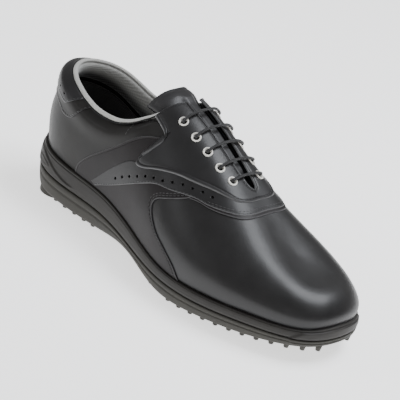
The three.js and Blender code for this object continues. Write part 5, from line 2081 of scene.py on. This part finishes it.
@dataclass
class Studio:
    """Pale floor, soft lights and the camera."""

    target: tuple[float, float, float] = (0.0055, 0.0032, 0.05)
    azimuth: float = 35.5
    elevation: float = 26.88
    roll: float = 15.06
    distance: float = 1.6
    lens: float = 194.4
    shift: tuple[float, float] = (-0.0075, 0.0194)

    def build(self) -> None:
        """Makes the floor, the lights and the camera."""
        self.floor()
        self.lights()
        self.camera()

    def camera(self) -> None:
        """Stands the camera at its viewing angle."""
        a, e, r = (math.radians(x) for x in (self.azimuth, self.elevation, self.roll))
        right = Vector((math.cos(a), math.sin(a), 0))
        back = Vector((math.sin(a) * math.cos(e), -math.cos(a) * math.cos(e), math.sin(e)))
        up = back.cross(right)
        across = right * math.cos(r) + up * math.sin(r)
        rise = up * math.cos(r) - right * math.sin(r)
        data = bpy.data.cameras.new("camera")
        data.lens, data.sensor_width = self.lens, 36
        data.shift_x, data.shift_y = self.shift
        data.clip_start, data.clip_end = 0.05, 20
        camera = bpy.data.objects.new("camera", data)
        turn = Matrix((across, rise, back)).transposed().to_4x4()
        camera.matrix_world = Matrix.Translation(Vector(self.target) + back * self.distance) @ turn
        bpy.context.scene.collection.objects.link(camera)
        bpy.context.scene.camera = camera

    def floor(self) -> None:
        """A large pale floor."""
        bm = bmesh.new()
        bmesh.ops.create_grid(bm, x_segments=2, y_segments=2, size=6)
        mesh = bpy.data.meshes.new("floor")
        bm.to_mesh(mesh)
        bm.free()
        graph = Graph("floor_paper")
        cloud = graph.noise(graph.place(), 0.4, 2.0)
        colour = graph.tint(cloud, (0.93, 0.93, 0.93), (0.95, 0.95, 0.95))
        mesh.materials.append(graph.finish(colour, 0.9, None, 0.0, Specular_IOR_Level=0.1,
                                           Emission_Color=(1.0, 1.0, 1.0), Emission_Strength=1.3))
        obj = bpy.data.objects.new("floor", mesh)
        bpy.context.scene.collection.objects.link(obj)

    def lights(self) -> None:
        """Soft boxes and an even sky."""
        world = bpy.data.worlds.new("sky")
        world.use_nodes = True
        background = world.node_tree.nodes["Background"]
        background.inputs["Color"].default_value = (1.0, 0.985, 0.975, 1)
        background.inputs["Strength"].default_value = 0.4
        bpy.context.scene.world = world
        boxes = (
            ("top_box", (0.34, 0.36, 1.2), (0.09, 0.0, 0.05), (0.8, 0.62), 17.0, (0.92, 0.95, 1.0)),
            ("left_box", (-0.75, -0.95, 0.8), (-0.05, 0.0, 0.07), (0.45, 0.35), 1.5, (0.95, 0.97, 1.0)),
            ("front_box", (0.9, -1.1, 0.7), (0.0, 0.0, 0.05), (0.6, 0.6), 0.6, (1.0, 1.0, 1.0)),
        )
        for name, place, aim, size, power, colour in boxes:
            data = bpy.data.lights.new(name, "AREA")
            data.shape = "RECTANGLE"
            data.size, data.size_y = size
            data.energy = power
            data.color = colour
            lamp = bpy.data.objects.new(name, data)
            direction = Vector(aim) - Vector(place)
            turn = direction.to_track_quat("-Z", "Y").to_matrix().to_4x4()
            lamp.matrix_world = Matrix.Translation(place) @ turn
            bpy.context.scene.collection.objects.link(lamp)


def main() -> None:
    """Builds the shoe, sub-assembly by sub-assembly."""
    logging.basicConfig(level=logging.INFO, format="%(name)s: %(message)s")
    Studio().build()
    last, wardrobe = Last(), Wardrobe()
    tailor = Tailor(last, wardrobe)
    Sole(last, wardrobe).build()
    Collar(tailor).build()
    Tongue(tailor).build()
    Upper(tailor).build()
    Closure(tailor).build()
    dress_hidden(wardrobe)


if __name__ == "__main__":
    main()
